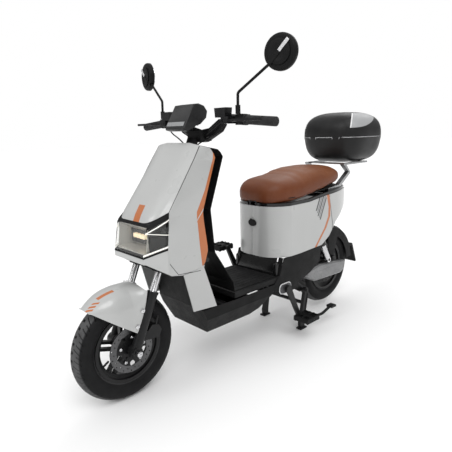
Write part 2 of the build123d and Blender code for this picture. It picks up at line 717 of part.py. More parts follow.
CAP_Y = -4.0
CAP_Z = 560.0
CAP_R = 15.0
CAP_PIN = 5.0               # hinge pin in front of the nose


def pod():
    walls = pod_walls(0, WALL) & prism(POD_SIDE_VIEW, -200, 200)
    front_half = prism([(-500, 300), (-500, 750)] + [(x + SEAM / 2, z) for x, z in POD_SEAM], -200, 200)
    rear_half = prism([(-1500, 300), (-1500, 750)] + [(x - SEAM / 2, z) for x, z in POD_SEAM], -200, 200)
    shell = (walls & front_half) - rod((-600, CAP_Y, CAP_Z), (-760, CAP_Y, CAP_Z), CAP_R + 0.4)
    tail = walls & rear_half
    lamp_zone = block(TAIL_END - 20, TAIL_END + 40, -70, 70, 606, 652)
    lamp = tail & prism([(TAIL_END - 30, 606.4), (TAIL_END - 30, 651.6), (-1282, 651.6), (-1282, 606.4)],
        -200, 200)
    lamp = lamp & block(TAIL_END - 30, -1280, -69.6, 69.6, 606, 652)
    return shell, pieces(tail - lamp_zone), lamp


def pod_rim():
    """Black rim and tail deck under the seat."""
    edge = [(-690, POD_TOP - 24), (-690, POD_TOP + 14), (-937, POD_TOP + 14), (-1058, 668), (-1264, 683)]
    edge += [(-1330, 680), (-1330, 650), (-1264, 653), (-1058, 638), (-937, POD_TOP - 24)]
    inset = WALL + SEAT_GAP
    rim = pod_walls(inset, 14) & prism(edge, -200, 200)
    deck_line = [(-1110, 662), (-1110, 671.7), (-1264, 683), (-1330, 680), (-1330, 670), (-1264, 673)]
    deck = prism(deck_line, -200, 200) & extrude(Pos(0, 0, 500) * pod_outline(inset), amount=300)
    rim = rim + deck
    return rim - block(-740, -680, -30, 30, 600, 700)


def charge_cap():
    """Round port cover with a hinge lug above it."""
    x = POD_NOSE
    cap = rod((x - 3, CAP_Y, CAP_Z), (x + 1.5, CAP_Y, CAP_Z), CAP_R - 0.4)
    cap += block(x - 1, x + 8, CAP_Y - 6, CAP_Y + 6, CAP_Z + 9, CAP_Z + 18)
    cap -= rod((x + CAP_PIN, CAP_Y - 8, CAP_Z + 16), (x + CAP_PIN, CAP_Y + 8, CAP_Z + 16), 1.6)
    return cap - block(x - 20, x + 2.4, CAP_Y - 10, CAP_Y + 10, CAP_Z + CAP_R - 2.5, CAP_Z + 30)


def cap_hinge():
    x = POD_NOSE
    pin = rod((x + CAP_PIN, CAP_Y - 10, CAP_Z + 16), (x + CAP_PIN, CAP_Y + 10, CAP_Z + 16), 1.5)
    for side in (-1, 1):
        edge = sorted((CAP_Y + side * 6.4, CAP_Y + side * 10))
        pin += block(x - 1.5, x + 7.5, *edge, CAP_Z + 14, CAP_Z + 20)
    return pin


def riser():
    """Glossy panel between the floor and the pod, and the black lower side covers."""
    front = [(FLOOR_REAR - 0.4, FLOOR_TOP - 4), (FLOOR_REAR - 0.4, FLOOR_TOP + 4), (-738, POD_LOW - SEAM)]
    outline = front + [(-738 - WALL, POD_LOW - SEAM), (FLOOR_REAR - 5, FLOOR_TOP + 4),
        (FLOOR_REAR - 5, FLOOR_TOP - 4)]
    panel = prism(outline, -118, 118)
    cover = [
        (-686, 297), (-FLOOR_SIDE, 323), (-724, 330), (-752, POD_LOW - SEAM), (-864, POD_LOW - SEAM),
        (-1040, 411), (-1030, 330), (-950, 290), (-860, 262), (-860, 236), (-720, 236), (-686, 262),
    ]
    covers = []
    for side in (-1, 1):
        band = sorted((side * (BODY_HALF - 4), side * (BODY_HALF - 4 - WALL)))
        cheek = prism(cover, *band) - disc(CRANK_X, CRANK_Z, 13, -200, 200)
        covers.append(cheek)
        link = sorted((side * 118.3, side * (BODY_HALF - 4 - WALL)))
        corner = prism([(-722, 330), (-748, POD_LOW - SEAM), (-751, POD_LOW - SEAM), (-725, 330)], *link)
        covers[-1] = covers[-1] + corner
    return panel, covers


FLOOR_SIDE = 712.0


# ---------------------------------------------------------------- frame
RAIL_PATH = [(-440, RAIL_HALF, 250), (-800, RAIL_HALF, 250), (-1004, RAIL_HALF, 592), (-1250, RAIL_HALF, 625)]
DOWN_TUBE = [(-222, 0, 652), (-297, 0, 520), (-297, 0, 340), (-440, 0, 250)]
SHOCK_TOP = (-1030.0, 512.0)
SHOCK_Y = 113.0
STAND_X = -947.0
STAND_Z = 193.0
STAND_Y = 121.0
PIVOT_R = 20.0
SEAT_HINGE = (-706.0, 662.0)
TRAY_X = -880.0
TRAY_Z = 385.0
ARM_IN = 57.0
ARM_OUT = 71.0


def main_frame():
    head = fork_rod(0, 0, HEAD_BOTTOM - 0.5, HEAD_TOP + 0.5, HEAD_R)
    frame = head + bent_bar(DOWN_TUBE, [50, 60], 22)
    for side in (-1, 1):
        rail = bent_bar(RAIL_PATH, [70, 70], RAIL_R)
        frame += rail if side > 0 else mirror(rail, about=Plane.XZ)
    frame += rod((-440, -RAIL_HALF, 250), (-440, RAIL_HALF, 250), 18)
    frame += rod((-690, -RAIL_HALF, 250), (-690, RAIL_HALF, 250), 11)
    frame += rod((-1010, -RAIL_HALF, 592), (-1010, RAIL_HALF, 592), 11)
    frame += rod((-1238, -RAIL_HALF, 623), (-1238, RAIL_HALF, 623), 11)
    for side in (-1, 1):
        lug = sorted((side * 74, side * (RAIL_HALF - 8)))
        plate_line = [(-735, 244), (-738, 286), (-765, 292), (-800, 286), (-800, 244)]
        frame += prism(plate_line, *lug)
        boss = sorted((side * (ARM_IN - 1), side * 76))
        frame += disc(CRANK_X, CRANK_Z, PIVOT_R, *boss)
        frame += disc(CRANK_X, CRANK_Z, 16, *sorted((side * 74, side * (RAIL_HALF + RAIL_R))))
        # shock mount and stand mount plates, outside the rails
        tab = sorted((side * (RAIL_HALF - 3), side * (RAIL_HALF + 3)))
        frame += prism([(-1000, 590), (-1040, 600), (-1048, 506), (-1014, 498)], *tab)
        eye = sorted((side * RAIL_HALF, side * (SHOCK_Y + 12)))
        frame += disc(*SHOCK_TOP, 8, *eye)
        frame += prism([(-806, 256), (-838, 300), (-962, 200), (-956, 182), (-934, 182)], *tab)
        pin = sorted((side * RAIL_HALF, side * (STAND_Y + 14)))
        frame += disc(STAND_X, STAND_Z, 8, *pin)
        # stays: floor, shield, pod and deck
        y = side * 60
        frame += rod((-470, side * RAIL_HALF, 250), (-470, side * RAIL_HALF, FLOOR_TOP - 7 - SEAT_GAP), 8)
        frame += rod((-680, side * RAIL_HALF, 250), (-680, side * RAIL_HALF, FLOOR_TOP - 7 - SEAT_GAP), 8)
        frame += rod((-1180, side * RAIL_HALF, 616), (-1180, side * RAIL_HALF, 676.9 - 10 - 1.2), 7)
        out = side * (BODY_HALF - WALL - SEAT_GAP)
        frame += rod((-1060, side * RAIL_HALF, 600), (-1060, out, 600), 6)
        frame += rod((-830, side * RAIL_HALF, 300), (-830, side * (BODY_HALF - 7 - SEAT_GAP), 300), 6)
        frame += rod((-560, side * RAIL_HALF, 262), (-560, side * (BODY_HALF - 1 - WALL - 2), 272), 6)
        frame += rod((-297, 0, 500), (-297, side * (BODY_HALF - WALL - SEAT_GAP), 500), 9)
        frame += rod((-297, 0, 400), (-297, side * (BODY_HALF - WALL - SEAT_GAP), 400), 9)
    inside = cowl_solid(WALL + SEAT_GAP)
    stay = rod((-330, 0, 870), (-180, 0, 870), 8) + rod((-230, 0, 640), (-100, 0, 640), 8)
    frame += stay & inside & prism([(-400, 700), (0, 700), (0, 1000), (-400, 1000)], -60, 60)
    # seat hinge bracket from the front of the rails' cross stay up to the pod nose
    x, z = SEAT_HINGE
    frame += bent_bar([(-690, 0, 250), (-756, 0, 290), (-756, 0, 420), (-724, 0, 500), (-724, 0, 640)],
        [30, 30, 30], 9)
    frame += rod((TRAY_X, -RAIL_HALF, TRAY_Z), (TRAY_X, RAIL_HALF, TRAY_Z), 11)
    frame += block(TRAY_X - 10, -760, -66, 66, TRAY_Z + 5, TRAY_Z + 11)
    for side in (-1, 1):
        knuckle = sorted((side * 14, side * 24))
        frame += disc(x, z, 6, *knuckle) + block(-731, x, *knuckle, 632, z)
    frame += block(-733, -715, -24, 24, 626, 640)
    frame += disc(x, z, 3, -24, 24)
    # clearances for what runs in the frame
    frame -= fork_rod(0, 0, 200, STEERER_TOP, STEERER_R + 2.5)
    for start in (HEAD_BOTTOM, HEAD_TOP - HEADSET_HEIGHT):
        edge = HEADSET_HEIGHT + 1
        low = start - 1 if start == HEAD_BOTTOM else start
        frame -= fork_rod(0, 0, low, low + edge, HEADSET_R)
    for side in (-1, 1):
        seat = sorted((side * (ARM_IN - 2), side * (RAIL_HALF + RAIL_R + 1)))
        frame -= disc(CRANK_X, CRANK_Z, 9.5, *seat)
        race = sorted((side * (ARM_IN - 2), side * (ARM_IN + 9)))
        frame -= disc(CRANK_X, CRANK_Z, 15, *race)
    return frame


def crank_bearings():
    races = []
    for side in (-1, 1):
        seat = sorted((side * (ARM_IN - 1), side * (ARM_IN + 8.9)))
        races.append(ring(CRANK_X, CRANK_Z, 14.98, CRANK_AXLE_R + FIT, *seat))
    return races


def power_pack():
    case = block(-900, -770, -74, 74, TRAY_Z + 11 + SEAT_GAP, 622)
    case += block(-860, -790, -30, 30, 622, 632)
    control = block(-985, -900 - SEAT_GAP, -60, 60, 560, 578)
    for index in range(7):
        y = -54 + 18 * index
        control += block(-980, -920, y - 2, y + 2, 548, 561)
    return case, control


# ---------------------------------------------------------------- rack and top box
def luggage_rack():
    sides = []
    for side in (-1, 1):
        band = sorted((side * 100, side * 124))
        sides.append(prism([(-1124, 670), (-1226, 676), (-1320, 742), (-1308, 752), (-1218, 691),
            (-1124, 684)], *band))
        top = [(-1320, 742), (-1260, 790), (-1260, 797), (-1492, 797), (-1492, 788), (-1286, 788),
            (-1322, 750)]
        sides[-1] = sides[-1] + prism(top, *band)
    rack = sides[0] + sides[1]
    for x in (-1290, -1470):
        rack += block(x - 14, x + 14, -112, 112, 790, 797)
    deck = [(-1110, 671.7 + SEAT_GAP), (-1264, 683 + SEAT_GAP), (-1264, 640), (-1110, 640)]
    return rack - prism(deck, -200, 200)


def box_face(z, length, width, corner):
    centre = BOX_FRONT - BOX_LENGTH / 2
    return Pos(centre, 0, z) * RectangleRounded(length, width, corner)


def box_lower(inset, floor):
    low = box_face(floor, BOX_LENGTH - 40 - 2 * inset, BOX_WIDTH - 70 - 2 * inset, 84 - inset)
    top = box_face(BOX_SEAM - SEAM / 2, BOX_LENGTH - 2 * inset, BOX_WIDTH - 2 * inset, 110 - inset)
    return loft([low, top], ruled=True)


BOX_HINGE = (BOX_FRONT + 5, BOX_SEAM + 5)
BOX_HINGE_R = 5.0


def top_box_base():
    body = box_lower(0, BOX_FLOOR) - box_lower(BOX_WALL, BOX_FLOOR + BOX_WALL)
    for x in (-1290, -1470):
        body += block(x - 12, x + 12, -90, 90, 797.02, BOX_FLOOR + 1)
    x, z = BOX_HINGE
    for side in (-1, 1):
        for y in (side * 60, side * 84):
            body += disc(x, z, BOX_HINGE_R, y - 5, y + 5)
            body += prism([(x - 9, z - 10), (x + 4, z - 9), (x + 4, z), (x - 4, z)], y - 5, y + 5)
        span = sorted((side * 55, side * 89))
        body += disc(x, z, 2, *span)
    keeper = block(BOX_FRONT - BOX_LENGTH + 0.5, BOX_FRONT - BOX_LENGTH + 4, -14, 14, BOX_SEAM - 20,
        BOX_SEAM - 12)
    keeper += block(BOX_FRONT - BOX_LENGTH - 3, BOX_FRONT - BOX_LENGTH + 3, -14, 14, BOX_SEAM - 20,
        BOX_SEAM - 14)
    return body + keeper


def box_upper(inset):
    low = box_face(BOX_SEAM + SEAM / 2, BOX_LENGTH - 2 * inset, BOX_WIDTH - 2 * inset, 110 - inset)
    mid = box_face(BOX_TOP - 56, BOX_LENGTH - 14 - 2 * inset, BOX_WIDTH - 18 - 2 * inset, 110 - inset)
    high = box_face(BOX_TOP - 14 - inset, BOX_LENGTH - 70 - 2 * inset, BOX_WIDTH - 84 - 2 * inset, 96 - inset)
    top = box_face(BOX_TOP - inset, BOX_LENGTH - 170 - 2 * inset, BOX_WIDTH - 190 - 2 * inset, 70 - inset)
    return loft([low, mid], ruled=True) + loft([mid, high], ruled=True) + loft([high, top], ruled=True)


def top_box_lid():
    body = box_upper(0) - box_upper(BOX_WALL)
    x, z = BOX_HINGE
    for side in (-1, 1):
        body -= block(x - 13, x + 8, *sorted((side * 54, side * 90)), BOX_SEAM - 8, z + 6.5)
        y = side * 72
        body += disc(x, z, BOX_HINGE_R, y - 6.6, y + 6.6)
        body += prism([(x - 14, z + 9), (x - 4, z + 9), (x, z), (x - 4, z - 2), (x - 9, z + 2)], y - 6.6,
            y + 6.6)
        body -= disc(x, z, 2 + FIT, y - 8, y + 8)
    back = BOX_FRONT - BOX_LENGTH
    for side in (-1, 1):
        ear = sorted((side * 16.4, side * 21))
        body += prism([(back + 3, BOX_SEAM + 10), (back - 7, BOX_SEAM + 14), (back - 7, BOX_SEAM + 26),
            (back + 4, BOX_SEAM + 30)], *ear)
    body += disc(back - 3, BOX_SEAM + 20, 2, -20, 20)
    return body


def box_latch():
    """Over-centre catch that hangs from the lid and hooks under the base's keeper."""
    back = BOX_FRONT - BOX_LENGTH
    arm = [(back - 3, BOX_SEAM + 25), (back - LATCH_REACH, BOX_SEAM + 20),
        (back - LATCH_REACH, BOX_SEAM - 28), (back - 4, BOX_SEAM - 28)]
    arm += [(back - 4, BOX_SEAM + 14), (back, BOX_SEAM + 17)]
    body = prism(arm, -16, 16) + disc(back - 3, BOX_SEAM + 20, 4.5, -16, 16)
    return body - disc(back - 3, BOX_SEAM + 20, 2 + FIT, -20, 20)


# ---------------------------------------------------------------- seat
SEAT_REAR = -1226.0


def seat_outline(inset):
    half = 140 - inset
    nose = -690 - inset
    tail = SEAT_REAR + inset
    front = ThreePointArc((-880, -half), (nose - 22, -84 + inset), (nose, 0))
    front_far = ThreePointArc((nose, 0), (nose - 22, 84 - inset), (-880, half))
    back = ThreePointArc((tail + 60, half), (tail + 14, half - 22), (tail, half - 70))
    back_far = ThreePointArc((tail, 70 - half), (tail + 14, 22 - half), (tail + 60, -half))
    lines = [front, front_far, Line((-880, half), (tail + 60, half)), back]
    lines += [Line((tail, half - 70), (tail, 70 - half)), back_far, Line((tail + 60, -half), (-880, -half))]
    return make_face(lines)


def seat_cushion():
    side_view = [
        (-684, SEAT_BOTTOM), (-684, 724), (-700, 752), (-730, 768), (-790, 775), (-850, 772), (-900, 780),
        (-960, 796), (-1040, 802), (-1180, 796), (-1240, 772), (-1240, SEAT_BOTTOM + 24),
            (-1100, SEAT_BOTTOM + 12),
        (-940, SEAT_BOTTOM),
    ]
    return extrude(Pos(0, 0, 600) * seat_outline(0), amount=300) & prism(side_view, -160, 160)


def seat_pan():
    line = [(-722, 672), (-722, SEAT_BOTTOM - 0.4), (-940, SEAT_BOTTOM - 0.4), (-1100, SEAT_BOTTOM + 11.6)]
    line += [(-1240, SEAT_BOTTOM + 23.6), (-1240, SEAT_BOTTOM + 19), (-1100, SEAT_BOTTOM + 7.5),
        (-940, 671.5)]
    pan = extrude(Pos(0, 0, 600) * seat_outline(8), amount=200) & prism(line, -160, 160)
    x, z = SEAT_HINGE
    pan += disc(x, z, 6, -13.6, 13.6) + prism([(x - 5, z + 3), (x + 1, z + 6), (-724, 675.6),
        (-736, 675.6), (-736, 671.5), (x - 16, 671)], -13.6, 13.6)
    return pan - disc(x, z, 3 + FIT, -20, 20)


# ---------------------------------------------------------------- swing arm and rear wheel
REAR_AXLE_R = 8.0
SHOCK_LOW = (-1147.0, 306.0)
MOTOR_R = 92.0
MOTOR_HALF = 36.0
STATOR_R = 83.0


def swing_arm():
    arms = None
    for side in (-1, 1):
        span = sorted((side * (ARM_IN + 0.5), side * ARM_OUT))
        line = [(CRANK_X, CRANK_Z - 30), (CRANK_X - 4, CRANK_Z + 30), (-1000, 274),
            (REAR_X + 10, REAR_Z + 26)]
        line += [(REAR_X - 26, REAR_Z + 18), (REAR_X - 26, REAR_Z - 18), (-1000, 226)]
        arm = prism(line, *span) + disc(CRANK_X, CRANK_Z, 31, *span)
        arm += prism([(-1110, 250), (-1130, 318), (-1162, 318), (-1186, 250)], *span)
        arm += block(-1282, -1258, *span, REAR_Z + 8, 290)
        pin = sorted((side * (ARM_OUT - 1), side * (SHOCK_Y + 12)))
        arm += disc(*SHOCK_LOW, 7, *pin)
        if side > 0:
            for x, z in ((-1010, 254), (-1205, 246)):
                arm += disc(x, z, 9, ARM_OUT - 1, COVER_IN - SEAT_GAP)
        arm -= disc(CRANK_X, CRANK_Z, PIVOT_R + FIT, -200, 200)
        arm -= disc(REAR_X, REAR_Z, REAR_AXLE_R + 0.02, -200, 200)
        arms = arm if arms is None else arms + arm
    return arms + rod((-930, -ARM_OUT + 2, 250), (-930, ARM_OUT - 2, 250), 12)


COVER_IN = 96.0
COVER_OUT = 122.0


def swing_arm_cover():
    outline = [
        (-953, 262), (-968, 280), (-1070, 297), (-1290, 274), (-1306, 262), (-1290, 214), (-1268, 206),
        (-1030, 216), (-966, 244),
    ]
    body = prism(outline, COVER_IN, COVER_OUT)
    body = chamfer(body.edges().filter_by(Plane.XZ).group_by(Axis.Y)[-1], 7)
    core = prism(grown(outline, -8), COVER_IN - 10, COVER_OUT - WALL)
    for x, z in ((-1010, 254), (-1205, 246)):
        core -= disc(x, z, 12, 0, 200)
    hub = disc(REAR_X, REAR_Z, 19, 0, 116)
    return (body - core) - (hub & block(-1400, -1100, 0, COVER_OUT - 6, 0, 400)) - shock_room()


def shock_room():
    """Room for the left shock's lower eye and pin as it swings."""
    return disc(*SHOCK_LOW, 17, 60, 200)


def rear_axle():
    bar = disc(REAR_X, REAR_Z, REAR_AXLE_R, -92, 92)
    for side in (-1, 1):
        collar = sorted((side * (MOTOR_HALF + 8.2), side * (ARM_IN + 0.4)))
        bar += disc(REAR_X, REAR_Z, 13, *collar)
        nut = sorted((side * (ARM_OUT + 0.1), side * (ARM_OUT + 11)))
        bar += disc(REAR_X, REAR_Z, 13, *nut)
    stator = ring(REAR_X, REAR_Z, STATOR_R, REAR_AXLE_R + 0.02, -18, 18)
    for index in range(12):
        x, z = polar(60, 30 * index)
        stator -= disc(REAR_X + x, REAR_Z + z, 9, -30, 30)
    return bar, stator


def rear_rim():
    body = barrel(REAR_X, REAR_Z)
    body += ring(REAR_X, REAR_Z, RIM_WELL_R - 3, MOTOR_R - 6, -12, 12)
    body += disc(REAR_X, REAR_Z, MOTOR_R, -MOTOR_HALF, MOTOR_HALF)
    body += disc(REAR_X, REAR_Z, 24, -MOTOR_HALF - 8, MOTOR_HALF + 8)
    for index in range(16):
        x, z = polar(MOTOR_R - 8, 22.5 * index)
        body += disc(REAR_X + x, REAR_Z + z, 4, -MOTOR_HALF - 2.5, MOTOR_HALF + 2.5)
    body -= disc(REAR_X, REAR_Z, STATOR_R + 1, -24, 24)
    body -= disc(REAR_X, REAR_Z, 11, -60, 60)
    races = []
    for side in (-1, 1):
        span = sorted((side * (MOTOR_HALF - 8), side * (MOTOR_HALF + 9)))
        body -= disc(REAR_X, REAR_Z, 16.02, *span)
        race = sorted((side * (MOTOR_HALF - 7.9), side * (MOTOR_HALF + 8)))
        races.append(ring(REAR_X, REAR_Z, 16, REAR_AXLE_R + FIT, *race))
    return body, races


CHAIN_Y = -49.0
CHAINRING_R = 52.0
SPROCKET_R = 36.0
CHAINRING_TEETH = 24
SPROCKET_TEETH = 16
SPROCKET_THICK = 3.0


def toothed(x, z, radius, teeth, bore):
    """A chain wheel with round tooth gaps."""
    wheel = ring(x, z, radius, bore, CHAIN_Y - SPROCKET_THICK / 2, CHAIN_Y + SPROCKET_THICK / 2)
    for index in range(teeth):
        dx, dz = polar(radius - 0.6, 360 / teeth * index)
        wheel -= disc(x + dx, z + dz, 4.2, -80, -20)
    return wheel


def freewheel():
    body = toothed(REAR_X, REAR_Z, SPROCKET_R, SPROCKET_TEETH, 24 + FIT)
    return body


def chain_band(reach):
    """Side view of the chain: a belt outline round both chain wheels."""
    big, small = CHAINRING_R + reach, SPROCKET_R + reach
    span = hypot(CRANK_X - REAR_X, CRANK_Z - REAR_Z)
    tilt = degrees(atan2(CRANK_Z - REAR_Z, CRANK_X - REAR_X))
    lean = degrees(atan2(big - small, span))
    start, end = tilt + 90 + lean, tilt - 90 - lean
    top = polar(big, start), polar(small, start)
    low = polar(big, end), polar(small, end)
    ahead, behind = polar(big, tilt), polar(small, tilt + 180)
    front = [(CRANK_X + dx, CRANK_Z + dz) for dx, dz in (top[0], ahead, low[0])]
    back = [(REAR_X + dx, REAR_Z + dz) for dx, dz in (low[1], behind, top[1])]
    lines = [ThreePointArc(*front), Line(front[2], back[0]), ThreePointArc(*back), Line(back[2], front[0])]
    return make_face(lines)


def drive_chain():
    """Two link-plate bands, joined by rollers along the straight runs."""
    band = None
    gap = SPROCKET_THICK / 2 + 0.5
    for y in (CHAIN_Y + gap + 1.4, CHAIN_Y - gap):
        plane = Plane.XZ.offset(-y)
        side = extrude(plane * chain_band(1.5),
            amount=1.4) - extrude(Plane.XZ.offset(-y - 1) * chain_band(-6), amount=4)
        band = side if band is None else band + side
    span = CRANK_X - REAR_X
    count = 26
    slope_top = (CRANK_Z + CHAINRING_R - REAR_Z - SPROCKET_R) / span
    slope_low = (CRANK_Z - CHAINRING_R - REAR_Z + SPROCKET_R) / span
    for index in range(3, count - 2):
        dx = span * index / count
        for base, slope in ((REAR_Z + SPROCKET_R - 2.2, slope_top), (REAR_Z - SPROCKET_R + 2.2, slope_low)):
            band += disc(REAR_X + dx, base + slope * dx, 2.2, CHAIN_Y - gap - 0.5, CHAIN_Y + gap + 0.5)
    return band


def rear_fender():
    half = 54.0
    radius = 226.0
    outer = [(half, 170), (half, 214), (34, radius), (-34, radius), (-half, 214), (-half, 170)]
    inner = [(WALL - half, 170), (WALL - half, 213), (-33, radius - WALL), (33, radius - WALL),
        (half - WALL, 213)]
    inner.append((half - WALL, 170))
    hood = turned(outer + inner, REAR_X, REAR_Z, 84, 92)
    for side in (-1, 1):
        band = sorted((side * (half + 0.0), side * (half - WALL)))
        hood += prism([(-1254, 274), (-1290, 274), (-1330, 395), (-1236, 404)], *band)
        foot = sorted((side * (half - WALL), side * (ARM_IN + 0.5 - SEAT_GAP)))
        hood += block(-1282, -1258, *foot, 276, 290)
    bracket = prism([(-1463, 319), (-1508, 312), (-1556, 196), (-1548, 190), (-1500, 296), (-1471, 297)],
        -40, 40)
    lamp = prism([(-1510.7, 306.3), (-1521.7, 279.6), (-1527, 281.7), (-1516, 308.4)], -36, 36)
    return hood + bracket, lamp


# ---------------------------------------------------------------- shocks
def shock_line():
    (x0, z0), (x1, z1) = SHOCK_TOP, SHOCK_LOW
    size = hypot(x1 - x0, z1 - z0)
    return ((x1 - x0) / size, (z1 - z0) / size), size


def shock_point(distance, side):
    (ux, uz), _ = shock_line()
    return (SHOCK_TOP[0] + ux * distance, side * SHOCK_Y, SHOCK_TOP[1] + uz * distance)


def shock(side):
    _, size = shock_line()
    top = rod(shock_point(30, side), shock_point(132, side), 22) + rod(shock_point(8, side),
        shock_point(34, side), 10)
    band = sorted((side * (SHOCK_Y - 11), side * (SHOCK_Y + 11)))
    top += disc(*SHOCK_TOP, 16, *band)
    top -= disc(*SHOCK_TOP, 8 + FIT, *sorted((side * 60, side * 160)))
    top -= rod(shock_point(44, side), shock_point(140, side), 17 + FIT)
    lower = rod(shock_point(96, side), shock_point(size - 12, side), 17)
    lower += disc(*SHOCK_LOW, 14, *band)
    lower -= disc(*SHOCK_LOW, 7 + 1.2, *sorted((side * 60, side * 160)))
    return top, lower


# ---------------------------------------------------------------- crank, pedals and stand
CRANK_AXLE_R = 8.0
CRANK_IN = 156.0
PEDAL_IN = 170.0
PEDAL_ANGLE = 243.9


def pedal_end(side):
    dx, dz = polar(CRANK_LENGTH, PEDAL_ANGLE if side > 0 else PEDAL_ANGLE - 180)
    return CRANK_X + dx, CRANK_Z + dz


def crank_set():
    body = disc(CRANK_X, CRANK_Z, CRANK_AXLE_R, -CRANK_IN - 8, CRANK_IN + 8)
    ring_body = toothed(CRANK_X, CRANK_Z, CHAINRING_R, CHAINRING_TEETH, CRANK_AXLE_R - 1)
    for index in range(5):
        dx, dz = polar(30, 72 * index)
        ring_body -= disc(CRANK_X + dx, CRANK_Z + dz, 9, -80, -20)
    body += ring_body
    for side in (-1, 1):
        x, z = pedal_end(side)
        span = sorted((side * CRANK_IN, side * (CRANK_IN + 12)))
        dx, dz = (x - CRANK_X) / CRANK_LENGTH, (z - CRANK_Z) / CRANK_LENGTH
        line = [(CRANK_X - dz * 15, CRANK_Z + dx * 15), (x - dz * 10, z + dx * 10),
            (x + dz * 10, z - dx * 10)]
        line.append((CRANK_X + dz * 15, CRANK_Z - dx * 15))
        body += prism(line, *span) + disc(CRANK_X, CRANK_Z, 16, *span) + disc(x, z, 12, *span)
        spindle = sorted((side * (CRANK_IN + 11), side * (PEDAL_IN + 84)))
        body += disc(x, z, 5, *spindle)
    return body


def pedal(side):
    """Platform with a cage of cross bars round the spindle tube."""
    x, z = pedal_end(side)
    body = block(x - 46, x + 46, PEDAL_IN, PEDAL_IN + 82, z - 11, z + 11)
    for x0, x1 in ((x - 40, x - 15), (x + 15, x + 40)):
        for y0 in (PEDAL_IN + 8, PEDAL_IN + 46):
            body -= block(x0, x1, y0, y0 + 28, z - 20, z + 20)
    for dx in (-40, -14, 14, 40):
        for dy in (6, 30, 52, 76):
            body += block(x + dx - 3, x + dx + 3, PEDAL_IN + dy - 3, PEDAL_IN + dy + 3, z - 14, z + 14)
    body -= disc(x, z, 5 + FIT, 0, PEDAL_IN + 90)
    return body if side > 0 else mirror(body, about=Plane.XZ)


STAND_FOOT_X = -920.0


def centre_stand():
    body = None
    for side in (-1, 1):
        span = sorted((side * (STAND_Y - 9), side * (STAND_Y + 9)))
        line = [(STAND_X - 11, STAND_Z), (STAND_X + 11, STAND_Z), (STAND_FOOT_X + 20, 30),
            (STAND_FOOT_X + 16, 5)]
        line += [(STAND_FOOT_X - 12, 5), (STAND_FOOT_X - 14, 40)]
        leg = prism(line, *span) + disc(STAND_X, STAND_Z, 15, *span)
        pad = sorted((side * (STAND_Y - 14), side * (STAND_Y + 16)))
        leg += block(STAND_FOOT_X - 22, STAND_FOOT_X + 26, *pad, 0, 7)
        leg -= disc(STAND_X, STAND_Z, 8 + FIT, *sorted((side * 60, side * 180)))
        body = leg if body is None else body + leg
    body += rod((-936, -STAND_Y, 128), (-936, STAND_Y, 128), 9)
    tang = bent_bar(
        [(-922, STAND_Y + 4, 40), (-940, 150, 52), (-1030, 168, 56), (-1092, 172, 78)], [20, 60], 7,
    )
    body += tang + block(-1120, -1082, 156, 190, 74, 84)
    link = rod((-955, STAND_Y + 9.1, 176), (-932, STAND_Y + 9.1, 70), 4)
    return body, link - body


# ---------------------------------------------------------------- build every node
def build():
    os.makedirs("parts", exist_ok=True)
    rim, hub_races, valve = front_rim()
    save("front_tyre", tyre(0, FRONT_Z))
    save("front_rim", rim, hub_races, valve)
    save("front_brake_disc", *brake_disc())
    save("fork_lowers", fork_lowers(), fork_seals(), caliper())
    save("front_axle", front_axle())
    save("front_fender", *front_fender())
    save("fork_stanchions", stanchions())
    save("fork_crown", fork_crown())
    save("handlebar", handlebar())
    save("bar_clamp", bar_clamp())
    save("display", *display())
    save("left_grip", grip(1, BAR_HALF + 3))
    save("throttle_grip", grip(-1, BAR_HALF + 3))
    save("switch_boxes", switch_box(1), switch_box(-1), mirror_stem(1), mirror_stem(-1))
    save("horn_button", horn_button())
    save("lever_perches", lever_perch(1), lever_perch(-1))
    save("left_mirror_head", mirror_head(1))
    save("right_mirror_head", mirror_head(-1))
    save("left_brake_lever", brake_lever(1))
    save("right_brake_lever", brake_lever(-1))
    save("brake_hoses", brake_hoses())
    front, lens, chin, sides, legs = cowl_panels()
    save("front_panel", front)
    save("side_fairings", sides, legs)
    save("chin_panel", pieces(chin))
    save("headlight_lens", pieces(lens))
    save("headlight_housing", *headlight_housing())
    save("inner_leg_shield", *inner_shield())
    save("belly_pan", belly_pan())
    save("footboard", *footboard())
    shell, tail, lamp = pod()
    save("pod_shell", pieces(shell), cap_hinge() - shell)
    save("tail_panels", tail, lamp)
    save("pod_rim", pod_rim())
    panel, covers = riser()
    save("riser_panel", panel)
    save("lower_side_covers", covers)
    save("charge_cap", charge_cap())
    save("main_frame", main_frame())
    save("frame_bearings", headset(), crank_bearings())
    save("power_pack", *power_pack())
    save("luggage_rack", luggage_rack())
    save("top_box_base", top_box_base())
    save("top_box_lid", top_box_lid())
    save("box_latch", box_latch())
    save("seat_cushion", seat_cushion())
    save("seat_pan", seat_pan())
    save("swing_arm", swing_arm())
    save("swing_arm_cover", swing_arm_cover())
    save("rear_axle", *rear_axle())
    save("rear_tyre", tyre(REAR_X, REAR_Z))
    save("rear_rim", *rear_rim())
    save("rear_fender", *rear_fender())
    save("freewheel", freewheel())
    save("drive_chain", drive_chain())
    for side, name in ((1, "left"), (-1, "right")):
        top, lower = shock(side)
        save(f"{name}_shock_body", top)
        save(f"{name}_shock_rod", lower)
        save(f"{name}_pedal", pedal(side))
    save("crank_set", crank_set())
    save("centre_stand", *centre_stand())


build()
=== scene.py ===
"""Looks of the electric moped scooter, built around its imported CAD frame.

Metres, +X forward, +Y the rider's left, +Z up.  spot() takes millimetres from the front axle line and the floor.
"""
import json
from contextlib import contextmanager
from math import atan2, cos, hypot, pi, radians, sin

import bmesh
import bpy
from mathutils import Matrix, Vector


